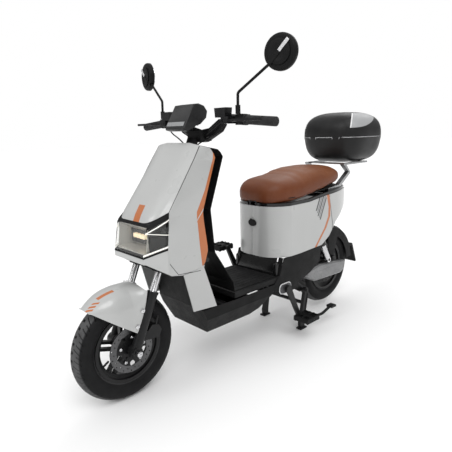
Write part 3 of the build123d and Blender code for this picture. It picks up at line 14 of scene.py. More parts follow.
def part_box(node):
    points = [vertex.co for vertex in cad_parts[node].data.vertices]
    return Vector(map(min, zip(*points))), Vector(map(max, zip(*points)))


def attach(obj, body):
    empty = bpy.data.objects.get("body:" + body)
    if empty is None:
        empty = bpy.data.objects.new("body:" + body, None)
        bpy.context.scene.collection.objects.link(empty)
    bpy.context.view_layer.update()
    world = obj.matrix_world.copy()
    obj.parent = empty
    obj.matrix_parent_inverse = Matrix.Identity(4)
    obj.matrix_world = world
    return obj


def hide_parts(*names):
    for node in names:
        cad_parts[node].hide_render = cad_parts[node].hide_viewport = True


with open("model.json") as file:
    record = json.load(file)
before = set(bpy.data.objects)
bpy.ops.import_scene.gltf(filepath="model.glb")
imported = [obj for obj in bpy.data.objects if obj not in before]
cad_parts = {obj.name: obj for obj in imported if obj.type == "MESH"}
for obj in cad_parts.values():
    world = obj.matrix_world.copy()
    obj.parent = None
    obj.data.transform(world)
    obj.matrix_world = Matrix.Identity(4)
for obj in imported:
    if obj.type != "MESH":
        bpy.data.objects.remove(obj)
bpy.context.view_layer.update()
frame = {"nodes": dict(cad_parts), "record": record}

axle_low, axle_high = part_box("front_axle")
FRONT_AXLE = (axle_low + axle_high) / 2
SIDES = ((1, "left"), (-1, "right"))
BODY_OF = {node: body for body, nodes in frame["record"]["behaviour"]["bodies"].items() for node in nodes}


def spot(x, y, z):
    """A place in millimetres from the front axle line, in metres in the frame."""
    return Vector((FRONT_AXLE.x + x / 1000, y / 1000, z / 1000))


# ---- camera, floor and light
CAMERA_AT = spot(745.2, 1380.0, 977.2)
CAMERA_YAW = radians(227.18)
CAMERA_PITCH = radians(-12.18)
CAMERA_ROLL = radians(-1.59)
LENS_MM = 35.07
SENSOR_MM = 36.0


def set_camera():
    """The camera that frames the whole moped from its front left."""
    ahead = Vector((cos(CAMERA_YAW) * cos(CAMERA_PITCH), sin(CAMERA_YAW) * cos(CAMERA_PITCH), sin(CAMERA_PITCH)))
    side = ahead.cross(Vector((0, 0, 1))).normalized()
    top = side.cross(ahead)
    right = side * cos(CAMERA_ROLL) + top * sin(CAMERA_ROLL)
    up = top * cos(CAMERA_ROLL) - side * sin(CAMERA_ROLL)
    lens = bpy.data.cameras.new("studio_camera")
    lens.lens = LENS_MM
    lens.sensor_width = SENSOR_MM
    lens.clip_end = 60
    camera = bpy.data.objects.new("studio_camera", lens)
    bpy.context.scene.collection.objects.link(camera)
    turn = Matrix((right, up, -ahead)).transposed().to_4x4()
    camera.matrix_world = Matrix.Translation(CAMERA_AT) @ turn
    bpy.context.scene.camera = camera


def add_sun(name, heading, height, strength, softness):
    """A soft sun from a heading round the object and a height above the floor, in degrees."""
    lamp = bpy.data.lights.new(name, "SUN")
    lamp.energy = strength
    lamp.angle = radians(softness)
    light = bpy.data.objects.new(name, lamp)
    bpy.context.scene.collection.objects.link(light)
    flat = cos(radians(height))
    source = Vector((flat * cos(radians(heading)), flat * sin(radians(heading)), sin(radians(height))))
    light.rotation_mode = "QUATERNION"
    light.rotation_quaternion = (-source).to_track_quat("-Z", "Y")


def set_studio():
    """White air seen by the camera, a soft sky for the rest, three soft suns and a pale floor."""
    world = bpy.data.worlds.new("studio_air")
    bpy.context.scene.world = world
    world.use_nodes = True
    nodes, links = world.node_tree.nodes, world.node_tree.links
    sky = nodes["Background"]
    sky.inputs["Strength"].default_value = 1.0
    rays = nodes.new("ShaderNodeLightPath")
    way = nodes.new("ShaderNodeTexCoord")
    parts = nodes.new("ShaderNodeSeparateXYZ")
    links.new(way.outputs["Generated"], parts.inputs[0])
    height = nodes.new("ShaderNodeMapRange")
    for socket, value in (("From Min", -0.1), ("From Max", 0.9), ("To Min", 0.16), ("To Max", 0.86)):
        height.inputs[socket].default_value = value
    links.new(parts.outputs["Z"], height.inputs["Value"])
    seen = nodes.new("ShaderNodeMath")
    seen.operation = "MAXIMUM"
    links.new(rays.outputs["Is Camera Ray"], seen.inputs[0])
    links.new(height.outputs["Result"], seen.inputs[1])
    links.new(seen.outputs[0], sky.inputs["Color"])
    bpy.context.scene.view_settings.view_transform = "Standard"
    add_sun("key_sun", 62, 52, 1.35, 40)
    add_sun("nose_sun", -8, 34, 0.65, 30)
    add_sun("back_sun", 200, 40, 0.45, 40)
    bpy.ops.mesh.primitive_plane_add(size=60, location=(0, 0, -0.001))
    floor = bpy.context.object
    floor.name = "studio_floor"
    pale = bpy.data.materials.new("studio_floor_paint")
    pale.use_nodes = True
    paint = pale.node_tree.nodes["Principled BSDF"]
    paint.inputs["Base Color"].default_value = (0.92, 0.92, 0.92, 1)
    paint.inputs["Roughness"].default_value = 0.9
    paint.inputs["Specular IOR Level"].default_value = 0.1
    floor.data.materials.append(pale)


# ---- finishes
class Finish:
    """A node material read in Object coordinates, built up step by step."""

    def __init__(self, name, rough=0.4, metallic=0.0, coat=0.0, coat_rough=0.05):
        self.material = bpy.data.materials.new(name)
        self.material.use_nodes = True
        self.tree = self.material.node_tree
        self.shader = self.tree.nodes["Principled BSDF"]
        self.place = self.add("ShaderNodeTexCoord").outputs["Object"]
        self.set("Roughness", rough)
        self.set("Metallic", metallic)
        self.set("Coat Weight", coat)
        self.set("Coat Roughness", coat_rough)

    def add(self, kind, **settings):
        node = self.tree.nodes.new(kind)
        for key, value in settings.items():
            setattr(node, key, value)
        return node

    def fill(self, node, **values):
        for socket, value in values.items():
            node.inputs[socket].default_value = value

    def set(self, socket, value):
        self.shader.inputs[socket].default_value = value

    def feed(self, socket, source):
        if isinstance(source, (int, float)):
            socket.default_value = source
        else:
            self.tree.links.new(source, socket)

    def noise(self, scale, detail=2.0, rough=0.5, place=None):
        node = self.add("ShaderNodeTexNoise")
        self.fill(node, Scale=scale, Detail=detail, Roughness=rough)
        self.tree.links.new(place or self.place, node.inputs["Vector"])
        return node.outputs["Fac"]

    def cells(self, scale, feature="F1", place=None):
        node = self.add("ShaderNodeTexVoronoi", feature=feature)
        node.inputs["Scale"].default_value = scale
        self.tree.links.new(place or self.place, node.inputs["Vector"])
        return node.outputs["Distance"]

    def spread(self, source, low, high, out_low=0.0, out_high=1.0):
        node = self.add("ShaderNodeMapRange")
        for socket, value in zip(("From Min", "From Max", "To Min", "To Max"), (low, high, out_low, out_high)):
            node.inputs[socket].default_value = value
        self.tree.links.new(source, node.inputs["Value"])
        return node.outputs["Result"]

    def sum(self, how, first, second=0.0, third=0.0):
        node = self.add("ShaderNodeMath", operation=how)
        for socket, value in zip(node.inputs, (first, second, third)):
            self.feed(socket, value)
        return node.outputs[0]

    def times(self, first, second):
        return self.sum("MULTIPLY", first, second)

    def minus(self, first, second):
        return self.sum("SUBTRACT", first, second)

    def scaled(self, source, factor, shift):
        return self.sum("MULTIPLY_ADD", source, factor, shift)

    def axes(self):
        node = self.add("ShaderNodeSeparateXYZ")
        self.tree.links.new(self.place, node.inputs[0])
        return node.outputs

    def stretched(self, scale):
        node = self.add("ShaderNodeMapping")
        node.inputs["Scale"].default_value = scale
        self.tree.links.new(self.place, node.inputs["Vector"])
        return node.outputs["Vector"]

    def mixed(self, share, first, second):
        node = self.add("ShaderNodeMix", data_type="RGBA")
        self.feed(node.inputs["Factor"], share)
        for socket, value in ((node.inputs[6], first), (node.inputs[7], second)):
            if isinstance(value, tuple):
                socket.default_value = (*value, 1)
            else:
                self.tree.links.new(value, socket)
        return node.outputs[2]

    def curve(self, source, points, low, high):
        """A line through (input, output) points, read at source; outputs lie from low to high."""
        start, end = points[0][0], points[-1][0]
        along = self.spread(source, start, end)
        node = self.add("ShaderNodeValToRGB")
        stops = node.color_ramp.elements
        while len(stops) < len(points):
            stops.new(0.5)
        for stop, (at, value) in zip(stops, sorted(points)):
            stop.position = (at - start) / (end - start)
        for stop, (at, value) in zip(stops, sorted(points)):
            tone = (value - low) / (high - low)
            stop.color = (tone, tone, tone, 1)
        self.tree.links.new(along, node.inputs[0])
        return self.spread(node.outputs["Color"], 0, 1, low, high)

    def inside(self, source, low, high, soft=0.0004):
        """1 between low and high, 0 outside, with a soft edge."""
        rise = self.minus(source, low)
        fall = self.minus(high, source)
        least = self.sum("MINIMUM", rise, fall)
        return self.spread(least, -soft, soft)

    def colour(self, source):
        self.tree.links.new(source, self.shader.inputs["Base Color"])
        return self

    def gloss(self, source):
        self.tree.links.new(source, self.shader.inputs["Roughness"])
        return self

    def relief(self, source, depth, strength=1.0):
        node = self.add("ShaderNodeBump")
        self.fill(node, Strength=strength, Distance=depth)
        self.tree.links.new(source, node.inputs["Height"])
        socket = self.shader.inputs["Normal"]
        if socket.links:
            self.tree.links.new(socket.links[0].from_socket, node.inputs["Normal"])
        self.tree.links.new(node.outputs["Normal"], socket)
        return self


ORANGE = (0.44, 0.125, 0.028)
PANEL_DARK = (0.42, 0.425, 0.42)
PANEL_LIGHT = (0.455, 0.46, 0.455)
SEAM_BLACK = (0.02, 0.02, 0.02)


def body_paint(name):
    """Light grey lacquer with a fine fleck, under a clear coat."""
    paint = Finish(name, rough=0.3, coat=0.55, coat_rough=0.06)
    cloud = paint.noise(5.0, 3.0)
    fleck = paint.noise(1900, 1.0)
    tone = paint.sum("ADD", paint.spread(cloud, 0.3, 0.7, 0, 0.7), paint.spread(fleck, 0.2, 0.8, 0, 0.3))
    paint.grey = paint.mixed(tone, PANEL_DARK, PANEL_LIGHT)
    paint.colour(paint.grey)
    paint.gloss(paint.spread(paint.noise(14, 3.0), 0.3, 0.7, 0.27, 0.33))
    paint.relief(paint.noise(420, 1.0), 0.000012)
    return paint


def moulded_plastic(name, tone=0.006, rough=(0.42, 0.6), grain=1400, depth=0.00012, spec=0.13):
    """Black moulded plastic with a pebbled skin and faint wipe marks."""
    skin = Finish(name)
    skin.set("Specular IOR Level", spec)
    cloud = skin.noise(9, 4.0)
    low, high = (tone, tone, tone * 1.03), (tone * 1.8, tone * 1.8, tone * 1.85)
    skin.colour(skin.mixed(skin.spread(cloud, 0.3, 0.75), low, high))
    skin.gloss(skin.spread(skin.noise(26, 5.0, 0.6), 0.3, 0.7, *rough))
    skin.relief(skin.cells(grain), depth)
    skin.relief(skin.noise(90, 3.0), depth)
    return skin


def satin_metal(name, dark, light, rough=(0.28, 0.42), metallic=1.0, brushed=(1, 1, 1), depth=0.00005):
    """Metal with a drawn grain along one way and cloudy handling marks."""
    metal = Finish(name, metallic=metallic)
    metal.set("Specular IOR Level", 0.25)
    drawn = metal.noise(160, 3.0, 0.6, metal.stretched(brushed))
    cloud = metal.noise(14, 3.0)
    tone = metal.scaled(drawn, 0.5, metal.times(cloud, 0.5))
    metal.colour(metal.mixed(metal.spread(tone, 0.3, 0.7), dark, light))
    metal.gloss(metal.spread(tone, 0.3, 0.7, *rough))
    metal.relief(drawn, depth)
    return metal


def millimetres(finish):
    """Object coordinates as millimetres from the front axle line and the floor."""
    x, y, z = finish.axes()
    along = finish.times(finish.minus(x, FRONT_AXLE.x), 1000.0)
    return along, finish.times(y, 1000.0), finish.times(z, 1000.0)


def front_panel_paint():
    """Body paint with one slanted orange bar above the lamp."""
    paint = body_paint("front_panel_paint")
    x, y, z = millimetres(paint)
    shifted = paint.scaled(paint.minus(z, 661.0), 0.25, y)
    bar = paint.times(paint.inside(shifted, 5.0, 44.0, 0.4), paint.inside(z, 600.0, 722.0, 0.4))
    paint.colour(paint.mixed(bar, paint.grey, ORANGE))
    return paint


# Edges of the orange flash on the side fairing: height, x.
FLASH_FRONT = [(481, -268), (541, -263), (647, -255), (660, -252), (691, -254), (767, -295), (881, -340)]
FLASH_REAR = [(481, -272), (500, -287), (534, -297), (614, -296), (697, -284), (767, -309), (881, -350)]


def fairing_paint():
    """Body paint with the orange flash and black outline along the rear edge."""
    paint = body_paint("fairing_paint")
    x, y, z = millimetres(paint)
    front_line = paint.curve(z, FLASH_FRONT, -400, -200)
    rear_line = paint.curve(z, FLASH_REAR, -400, -200)
    flash = paint.times(paint.inside(x, rear_line, front_line, 0.4), paint.inside(z, 483.0, 905.0, 0.4))
    gap = paint.inside(paint.scaled(x, 1.23, z), 345.5, 351.5, 0.5)
    flash = paint.times(flash, paint.minus(1.0, gap))
    outline = paint.times(paint.sum("LESS_THAN", x, rear_line), paint.inside(z, 483.0, 905.0, 0.4))
    toned = paint.mixed(flash, paint.grey, ORANGE)
    seam = paint.inside(paint.scaled(x, 0.8208, paint.times(z, 0.5711)), 286.6, 289.2, 0.3)
    outline = paint.sum("MAXIMUM", outline, paint.times(seam, paint.sum("GREATER_THAN", z, 690.0)))
    rising = paint.minus(z, paint.scaled(x, 1.409, 697.0))
    level = paint.minus(z, paint.scaled(x, 0.0612, 482.7))
    for offset, low, high, half in ((rising, -159.0, -115.0, 2.2), (level, -259.0, -159.0, 1.3)):
        line = paint.times(paint.inside(offset, -half, half, 0.4), paint.inside(x, low, high, 0.4))
        outline = paint.sum("MAXIMUM", outline, line)
    paint.colour(paint.mixed(outline, toned, SEAM_BLACK))
    return paint


def fender_paint():
    """Body paint with one long and three short orange dashes on the crown."""
    paint = body_paint("fender_paint")
    x, y, z = millimetres(paint)
    angle = paint.times(paint.sum("ARCTAN2", paint.minus(z, FRONT_AXLE.z * 1000), x), 180 / pi)
    centre = paint.scaled(paint.minus(angle, 72.0), 0.6, 19.0)
    offset = paint.minus(y, centre)
    marks = paint.times(paint.inside(offset, -8.0, 8.0, 0.4), paint.inside(angle, 65.0, 80.0, 0.15))
    slanted = paint.scaled(paint.minus(y, 26.0), -0.216, angle)
    across = paint.inside(y, 16.0, 36.0, 0.4)
    for middle in (61.3, 57.3, 53.6):
        dash = paint.times(paint.inside(slanted, middle - 1.1, middle + 1.1, 0.1), across)
        marks = paint.sum("MAXIMUM", marks, dash)
    paint.colour(paint.mixed(marks, paint.grey, ORANGE))
    return paint


# Lines on the pod: height, x.  Stripes: x at 645 mm height, half width, lower end, colour.
POD_LINE_FRONT = [(405, -978), (418, -987), (493, -1057), (548, -1089), (597, -1091), (657, -1074)]
POD_LINE_BACK = [(405, -996), (418, -1005), (493, -1076), (548, -1107), (597, -1108), (657, -1096)]
POD_SEAM = [(405, -1131), (512, -1128), (640, -1103), (657, -1102)]
STRIPE_DARK, STRIPE_GREY = (0.03, 0.03, 0.032), (0.13, 0.13, 0.135)
POD_STRIPES = ((-1015, 5.5, 590, STRIPE_DARK), (-1030, 4, 578, STRIPE_GREY), (-1043, 5, 562, STRIPE_DARK),
               (-1057, 3.5, 552, STRIPE_GREY), (-1070, 5, 542, STRIPE_DARK))


def pod_paint():
    """Body paint with slanted stripes and an orange line in front of the rear seam, on both sides."""
    paint = body_paint("pod_paint")
    x, y, z = millimetres(paint)
    front_line = paint.curve(z, POD_LINE_FRONT, -1200, -900)
    back_line = paint.curve(z, POD_LINE_BACK, -1200, -900)
    flash = paint.inside(x, back_line, front_line, 0.4)
    toned = paint.mixed(flash, paint.grey, ORANGE)
    lean = paint.scaled(paint.minus(z, 645.0), 0.47, x)
    clear = paint.sum("GREATER_THAN", x, paint.sum("ADD", front_line, 6.0))
    for middle, half, bottom, shade in POD_STRIPES:
        band = paint.inside(lean, middle - half, middle + half, 0.4)
        stripe = paint.times(band, paint.inside(z, bottom, 700.0, 0.4))
        stripe = paint.times(stripe, clear)
        toned = paint.mixed(stripe, toned, shade)
    seam = paint.curve(z, POD_SEAM, -1200, -1000)
    offset = paint.minus(x, seam)
    paint.colour(paint.mixed(paint.inside(offset, -3.0, 3.0, 0.4), toned, SEAM_BLACK))
    return paint


def seat_leather():
    """Brown leather: pebbled grain, with painted light on the crown and painted shade on the low sides, graded by
    height.
    """
    hide = Finish("seat_leather", rough=0.42)
    hide.set("Specular IOR Level", 0.28)
    x, y, z = hide.axes()
    # Painted light and shade: the tone runs from darker low on the seat to lighter at the top, by height alone.
    height = hide.spread(z, 0.72, 0.79)
    cloud = hide.noise(16, 5.0, 0.6)
    tone = hide.scaled(hide.spread(cloud, 0.3, 0.7), 0.3, hide.times(height, 0.7))
    base = hide.mixed(tone, (0.125, 0.029, 0.0075), (0.235, 0.092, 0.04))
    creases = hide.spread(hide.cells(330, "DISTANCE_TO_EDGE"), 0.0, 0.09)
    hide.colour(hide.mixed(creases, (0.12, 0.032, 0.01), base))
    hide.gloss(hide.spread(cloud, 0.3, 0.7, 0.36, 0.5))
    hide.relief(creases, 0.0002, 0.5)
    hide.relief(hide.noise(60, 3.0), 0.0003, 0.4)
    return hide


def tyre_rubber():
    """Black walls and a paler worn tread."""
    rubber = Finish("tyre_rubber")
    rubber.set("Specular IOR Level", 0.12)
    x, y, z = rubber.axes()
    cloud = rubber.noise(24, 5.0, 0.6)
    tread = rubber.inside(y, -0.029, 0.029, 0.002)
    worn = rubber.mixed(rubber.spread(cloud, 0.3, 0.7), (0.06, 0.06, 0.061), (0.095, 0.095, 0.097))
    wall = rubber.mixed(rubber.spread(cloud, 0.3, 0.7), (0.007, 0.007, 0.0075), (0.014, 0.014, 0.0145))
    rubber.colour(rubber.mixed(tread, wall, worn))
    rubber.gloss(rubber.spread(cloud, 0.3, 0.7, 0.5, 0.68))
    rubber.relief(rubber.noise(700, 2.0), 0.00015)
    return rubber


def grip_rubber():
    """Dull rubber with fine ribs across the grip."""
    rubber = Finish("grip_rubber", rough=0.6)
    rubber.set("Specular IOR Level", 0.15)
    x, y, z = rubber.axes()
    ribs = rubber.sum("SINE", rubber.times(y, 1400.0))
    cloud = rubber.spread(rubber.noise(40, 4.0), 0.3, 0.7)
    rubber.colour(rubber.mixed(cloud, (0.016, 0.016, 0.017), (0.034, 0.034, 0.035)))
    rubber.gloss(rubber.spread(rubber.noise(30, 4.0), 0.3, 0.7, 0.5, 0.65))
    rubber.relief(ribs, 0.0004)
    rubber.relief(rubber.cells(1300), 0.0001)
    return rubber


def clear_lens():
    """Clear plastic, faintly clouded."""
    lens = Finish("headlamp_lens", rough=0.03, coat=0.4)
    lens.set("Transmission Weight", 1.0)
    lens.set("IOR", 1.12)
    lens.colour(lens.mixed(lens.noise(12, 2.0), (0.93, 0.93, 0.91), (0.98, 0.98, 0.97)))
    lens.gloss(lens.spread(lens.noise(60, 3.0), 0.3, 0.7, 0.02, 0.06))
    return lens


def lamp_glow(name, colour, strength, base):
    """A lit lamp part with a prismatic face."""
    glow = Finish(name, rough=0.25)
    glow.set("Emission Color", (*colour, 1))
    glow.set("Emission Strength", strength)
    glow.colour(glow.mixed(glow.cells(600), base, colour))
    glow.relief(glow.cells(500), 0.0004)
    return glow


def mirror_glass():
    glass = Finish("mirror_glass", metallic=1.0, rough=0.04)
    glass.colour(glass.mixed(glass.noise(10, 2.0), (0.70, 0.72, 0.74), (0.80, 0.82, 0.84)))
    glass.gloss(glass.spread(glass.noise(50, 4.0), 0.3, 0.8, 0.02, 0.06))
    return glass


# The silver flash on each rear flank of the lid: front edge, lowest height, inner edge and bright edge width.
FLASH_LEAD = 57.0
FLASH_FOOT = 976.0
FLASH_FOOT_AT = 150.0
FLASH_CURL = 0.0011
FLASH_INNER = 96.0
FLASH_EDGE = 11.0


def top_box_skin(name):
    """Black grained skin; above the seam a silver flash with a bright front edge covers each rear flank."""
    skin = moulded_plastic(name, tone=0.009, rough=(0.34, 0.46), grain=1500, depth=0.00004, spec=0.25)
    x, y, z = millimetres(skin)
    behind = skin.minus(x, BOX_MIDDLE)
    side = skin.sum("ABSOLUTE", y)
    ahead = skin.minus(skin.times(side, 1.465), skin.times(behind, 0.977))
    ahead = skin.minus(ahead, skin.times(skin.minus(z, FLASH_FOOT), 0.22))
    back = skin.minus(FLASH_FOOT_AT, behind)
    above = skin.minus(z, skin.scaled(skin.times(back, back), FLASH_CURL, FLASH_FOOT))
    flash = skin.times(skin.inside(ahead, FLASH_LEAD, 900.0, 0.5), skin.inside(above, 0.0, 300.0, 0.5))
    flash = skin.times(flash, skin.inside(side, FLASH_INNER, 300.0, 0.5))
    edge = skin.inside(ahead, FLASH_LEAD, FLASH_LEAD + FLASH_EDGE, 0.5)
    silver = skin.mixed(edge, (0.34, 0.345, 0.35), (0.7, 0.7, 0.7))
    tone = skin.shader.inputs["Base Color"].links[0].from_socket
    skin.colour(skin.mixed(flash, tone, silver))
    return skin


def polished_chrome():
    """Bright plating with faint cloudy wipe marks."""
    plate = Finish("polished_chrome", metallic=1.0)
    cloud = plate.noise(9, 2.0)
    plate.colour(plate.mixed(plate.spread(cloud, 0.3, 0.7), (0.58, 0.58, 0.59), (0.68, 0.68, 0.69)))
    plate.gloss(plate.spread(cloud, 0.3, 0.7, 0.12, 0.18))
    return plate


def disc_metal():
    """Ground grey braking band round a black carrier."""
    metal = satin_metal("ground_disc_steel", (0.09, 0.09, 0.092), (0.15, 0.15, 0.153), (0.3, 0.45))
    x, y, z = millimetres(metal)
    drop = metal.minus(z, FRONT_AXLE.z * 1000)
    reach = metal.sum("SQRT", metal.sum("ADD", metal.times(x, x), metal.times(drop, drop)))
    band = metal.inside(reach, 62.0, 120.0, 0.4)
    tone = metal.shader.inputs["Base Color"].links[0].from_socket
    metal.colour(metal.mixed(band, (0.006, 0.006, 0.0065), tone))
    metal.tree.links.new(band, metal.shader.inputs["Metallic"])
    return metal


FINISHES = {}


def make_finishes():
    FINISHES.update({
        "paint": body_paint("body_paint"),
        "front_paint": front_panel_paint(),
        "fairing_paint": fairing_paint(),
        "fender_paint": fender_paint(),
        "pod_paint": pod_paint(),
        "plastic": moulded_plastic("black_plastic"),
        "floor_mat": moulded_plastic("floor_mat_rubber", 0.011, (0.45, 0.62), 700, 0.0003),
        "piano": moulded_plastic("polished_black", 0.006, (0.12, 0.2), 2400, 0.00001, 0.4),
        "screen": moulded_plastic("display_shell", 0.014, (0.28, 0.4), 1800, 0.00004, 0.25),
        "box": top_box_skin("top_box_skin"),
        "coated": satin_metal("coated_black_metal", (0.006, 0.006, 0.0065), (0.014, 0.014, 0.0145), (0.28, 0.42), 0.0),
        "grey_metal": satin_metal("dark_grey_metal", (0.07, 0.07, 0.075), (0.14, 0.14, 0.145), (0.35, 0.5), 0.8),
        "chrome": polished_chrome(),
        "alloy": satin_metal("brushed_alloy", (0.30, 0.305, 0.31), (0.42, 0.425, 0.43), (0.24, 0.34), 1.0, (1, 8, 8)),
        "steel": satin_metal("machined_steel", (0.22, 0.22, 0.23), (0.45, 0.45, 0.46), (0.25, 0.4)),
        "disc_steel": disc_metal(),
        "tyre": tyre_rubber(),
        "grip": grip_rubber(),
        "lens": clear_lens(),
        "leather": seat_leather(),
        "hose": moulded_plastic("hose_rubber", 0.008, (0.4, 0.55), 1600, 0.00005),
        "mirror": mirror_glass(),
        "bright_trim": satin_metal("bright_trim", (0.6, 0.6, 0.61), (0.75, 0.75, 0.76), (0.25, 0.32), 0.3),
        "cast_cover": satin_metal("cast_arm_cover", (0.15, 0.152, 0.155), (0.27, 0.272, 0.275), (0.24, 0.36), 0.85),
        "groove": moulded_plastic("tread_groove", 0.005, (0.7, 0.8)),
        "reflector_tray": satin_metal("reflector_tray", (0.46, 0.45, 0.42), (0.50, 0.49, 0.46), (0.2, 0.28), 0.3,
                                      depth=0.000005),
        "light_bar": lamp_glow("light_bar", (1.0, 0.97, 0.9), 0.22, (0.8, 0.79, 0.76)),
        "silver_grey": satin_metal("silver_grey_plate", (0.28, 0.285, 0.29), (0.36, 0.365, 0.37), (0.34, 0.44), 0.3),
        "led": lamp_glow("warm_led", (1.0, 0.84, 0.6), 0.55, (0.8, 0.7, 0.52)),
    })


NODE_FINISH = {
    "tyre": ["front_tyre", "rear_tyre"],
    "coated": ["front_rim", "rear_rim", "fork_lowers", "fork_crown", "handlebar", "lever_perches", "left_brake_lever",
               "right_brake_lever", "main_frame", "swing_arm", "crank_set", "centre_stand"],
    "disc_steel": ["front_brake_disc"],
    "steel": ["front_axle", "frame_bearings", "rear_axle", "freewheel", "drive_chain"],
    "fender_paint": ["front_fender"],
    "chrome": ["fork_stanchions", "left_shock_rod", "right_shock_rod"],
    "plastic": ["bar_clamp", "switch_boxes", "horn_button", "left_mirror_head", "right_mirror_head", "inner_leg_shield",
                "belly_pan", "lower_side_covers", "charge_cap", "power_pack", "seat_pan", "rear_fender", "left_pedal",
                "right_pedal"],
    "floor_mat": ["footboard"],
    "screen": ["display"],
    "grip": ["left_grip", "throttle_grip"],
    "hose": ["brake_hoses"],
    "front_paint": ["front_panel"],
    "fairing_paint": ["side_fairings"],
    "paint": ["chin_panel", "tail_panels"],
    "pod_paint": ["pod_shell"],
    "lens": ["headlight_lens"],
    "piano": ["headlight_housing", "pod_rim", "riser_panel", "left_shock_body", "right_shock_body", "box_latch"],
    "alloy": ["luggage_rack", "swing_arm_cover"],
    "box": ["top_box_base", "top_box_lid"],
    "leather": ["seat_cushion"],
}


def dress(piece, finish):
    piece.data.materials.clear()
    piece.data.materials.append(FINISHES[finish].material)


def dress_nodes():
    for finish, nodes in NODE_FINISH.items():
        for node in nodes:
            slots = frame["nodes"][node].material_slots
            for slot in slots:
                slot.material = FINISHES[finish].material


# ---- modelling helpers
def only(piece):
    bpy.ops.object.select_all(action="DESELECT")
    piece.select_set(True)
    bpy.context.view_layer.objects.active = piece


def fresh(name):
    """Names the piece just added, selects it alone and applies its place."""
    piece = bpy.context.object
    piece.name = name
    only(piece)
    bpy.ops.object.transform_apply(location=True, rotation=True, scale=True)
    return piece


@contextmanager
def editing(piece, kind="FACE", whole=False):
    """Edit mode on one piece with nothing selected, or with the whole of it."""
    only(piece)
    bpy.ops.object.mode_set(mode="EDIT")
    bpy.ops.mesh.select_mode(type=kind)
    bpy.ops.mesh.select_all(action="SELECT" if whole else "DESELECT")
    yield bmesh.from_edit_mesh(piece.data)
    bpy.ops.object.mode_set(mode="OBJECT")


def pick(piece, parts, test):
    """Selects the parts of a piece's edit mesh that pass a test, and returns how many."""
    count = 0
    for part in parts:
        if test(part):
            part.select_set(True)
            count += 1
    bmesh.update_edit_mesh(piece.data)
    return count


def settle(piece, body, finish, replaces=(), angle=35):
    """Places a finished piece: transforms applied, smooth shading, finish, body and stand-in."""
    only(piece)
    bpy.ops.object.transform_apply(location=True, rotation=True, scale=True)
    bpy.ops.object.shade_smooth_by_angle(angle=radians(angle))
    if finish:
        dress(piece, finish)
    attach(piece, body)
    if replaces:
        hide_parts(*replaces)
    return piece


def add_modifier(piece, kind, **settings):
    """Adds one modifier and applies it."""
    modifier = piece.modifiers.new(kind.lower(), kind)
    for key, value in settings.items():
        setattr(modifier, key, value)
    only(piece)
    bpy.ops.object.modifier_apply(modifier=modifier.name)


def node_copy(node, name):
    """A merged copy of a CAD node's mesh with its flat faces whole again."""
    source = frame["nodes"][node]
    piece = bpy.data.objects.new(name, source.data.copy())
    bpy.context.scene.collection.objects.link(piece)
    with editing(piece, whole=True):
        bpy.ops.mesh.remove_doubles(threshold=0.00002)
        bpy.ops.mesh.dissolve_limited(angle_limit=radians(1.0))
    return piece


# ---- front body
# Horizontal sections of the front panel: height, face x, its half width, seam x, seam half width.
PANEL_SECTIONS = [(655, -64, 97, -120, 140), (690, -86, 96, -132, 136), (881, -243, 96, -263, 133),
                  (938, -296, 92, -302, 128)]
# The arched top edge as planes: y, height, lean in degrees.
PANEL_ARCH = ((62, 939, 9), (108, 935, 22), (126, 928, 40), (142, 911, 62))
CORNER_REACH = 34.0


def panel_point(across, z):
    """A point of the front panel's outer face; across runs from -1 to 1 between the seams."""
    for lower, upper in zip(PANEL_SECTIONS, PANEL_SECTIONS[1:]):
        if z <= upper[0]:
            break
    share = (z - lower[0]) / (upper[0] - lower[0])
    face, half, seam, seam_half = (p + (q - p) * share for p, q in zip(lower[1:], upper[1:]))
    corner, end = Vector((face, half, 0)), Vector((seam - 0.5, seam_half - 0.5, 0))
    start = Vector((face, half - CORNER_REACH, 0))
    leave = corner + (end - corner).normalized() * CORNER_REACH
    part = abs(across)
    if part < 0.45:
        place = Vector((face, 0, 0)).lerp(start, part / 0.45)
    elif part < 0.8:
        step = (part - 0.45) / 0.35
        place = start.lerp(corner, step).lerp(corner.lerp(leave, step), step)
    else:
        place = leave.lerp(end, (part - 0.8) / 0.2)
    return Vector((place.x, place.y * (1 if across >= 0 else -1), z))


def panel_top(across):
    width = abs(panel_point(across, 925).y)
    slopes = (z + (y - width) * sin(radians(lean)) / cos(radians(lean)) for y, z, lean in PANEL_ARCH)
    return min(937.5, *slopes)


def panel_foot(across):
    z = 665.0
    for _ in range(6):
        z = 612.6 + (30 - panel_point(across, z).x) * 0.5417
    return z


def front_panel():
    """The sloping front panel: rounded into the seams, arched on top, with a kinked foot over the lamp."""
    bpy.ops.mesh.primitive_grid_add(x_subdivisions=80, y_subdivisions=60, size=2)
    piece = bpy.context.object
    piece.name = "front_panel_shell"
    only(piece)
    for vertex in piece.data.vertices:
        across, up = vertex.co.x, (vertex.co.y + 1) / 2
        foot, top = panel_foot(across), panel_top(across)
        vertex.co = spot(*panel_point(across, foot + (top - foot) * up))
    add_modifier(piece, "SOLIDIFY", thickness=0.003, offset=-1)
    if piece.data.polygons[0].normal.x < 0:
        with editing(piece, whole=True):
            bpy.ops.mesh.flip_normals()
    settle(piece, "chassis", "front_paint", ("front_panel",), 50)


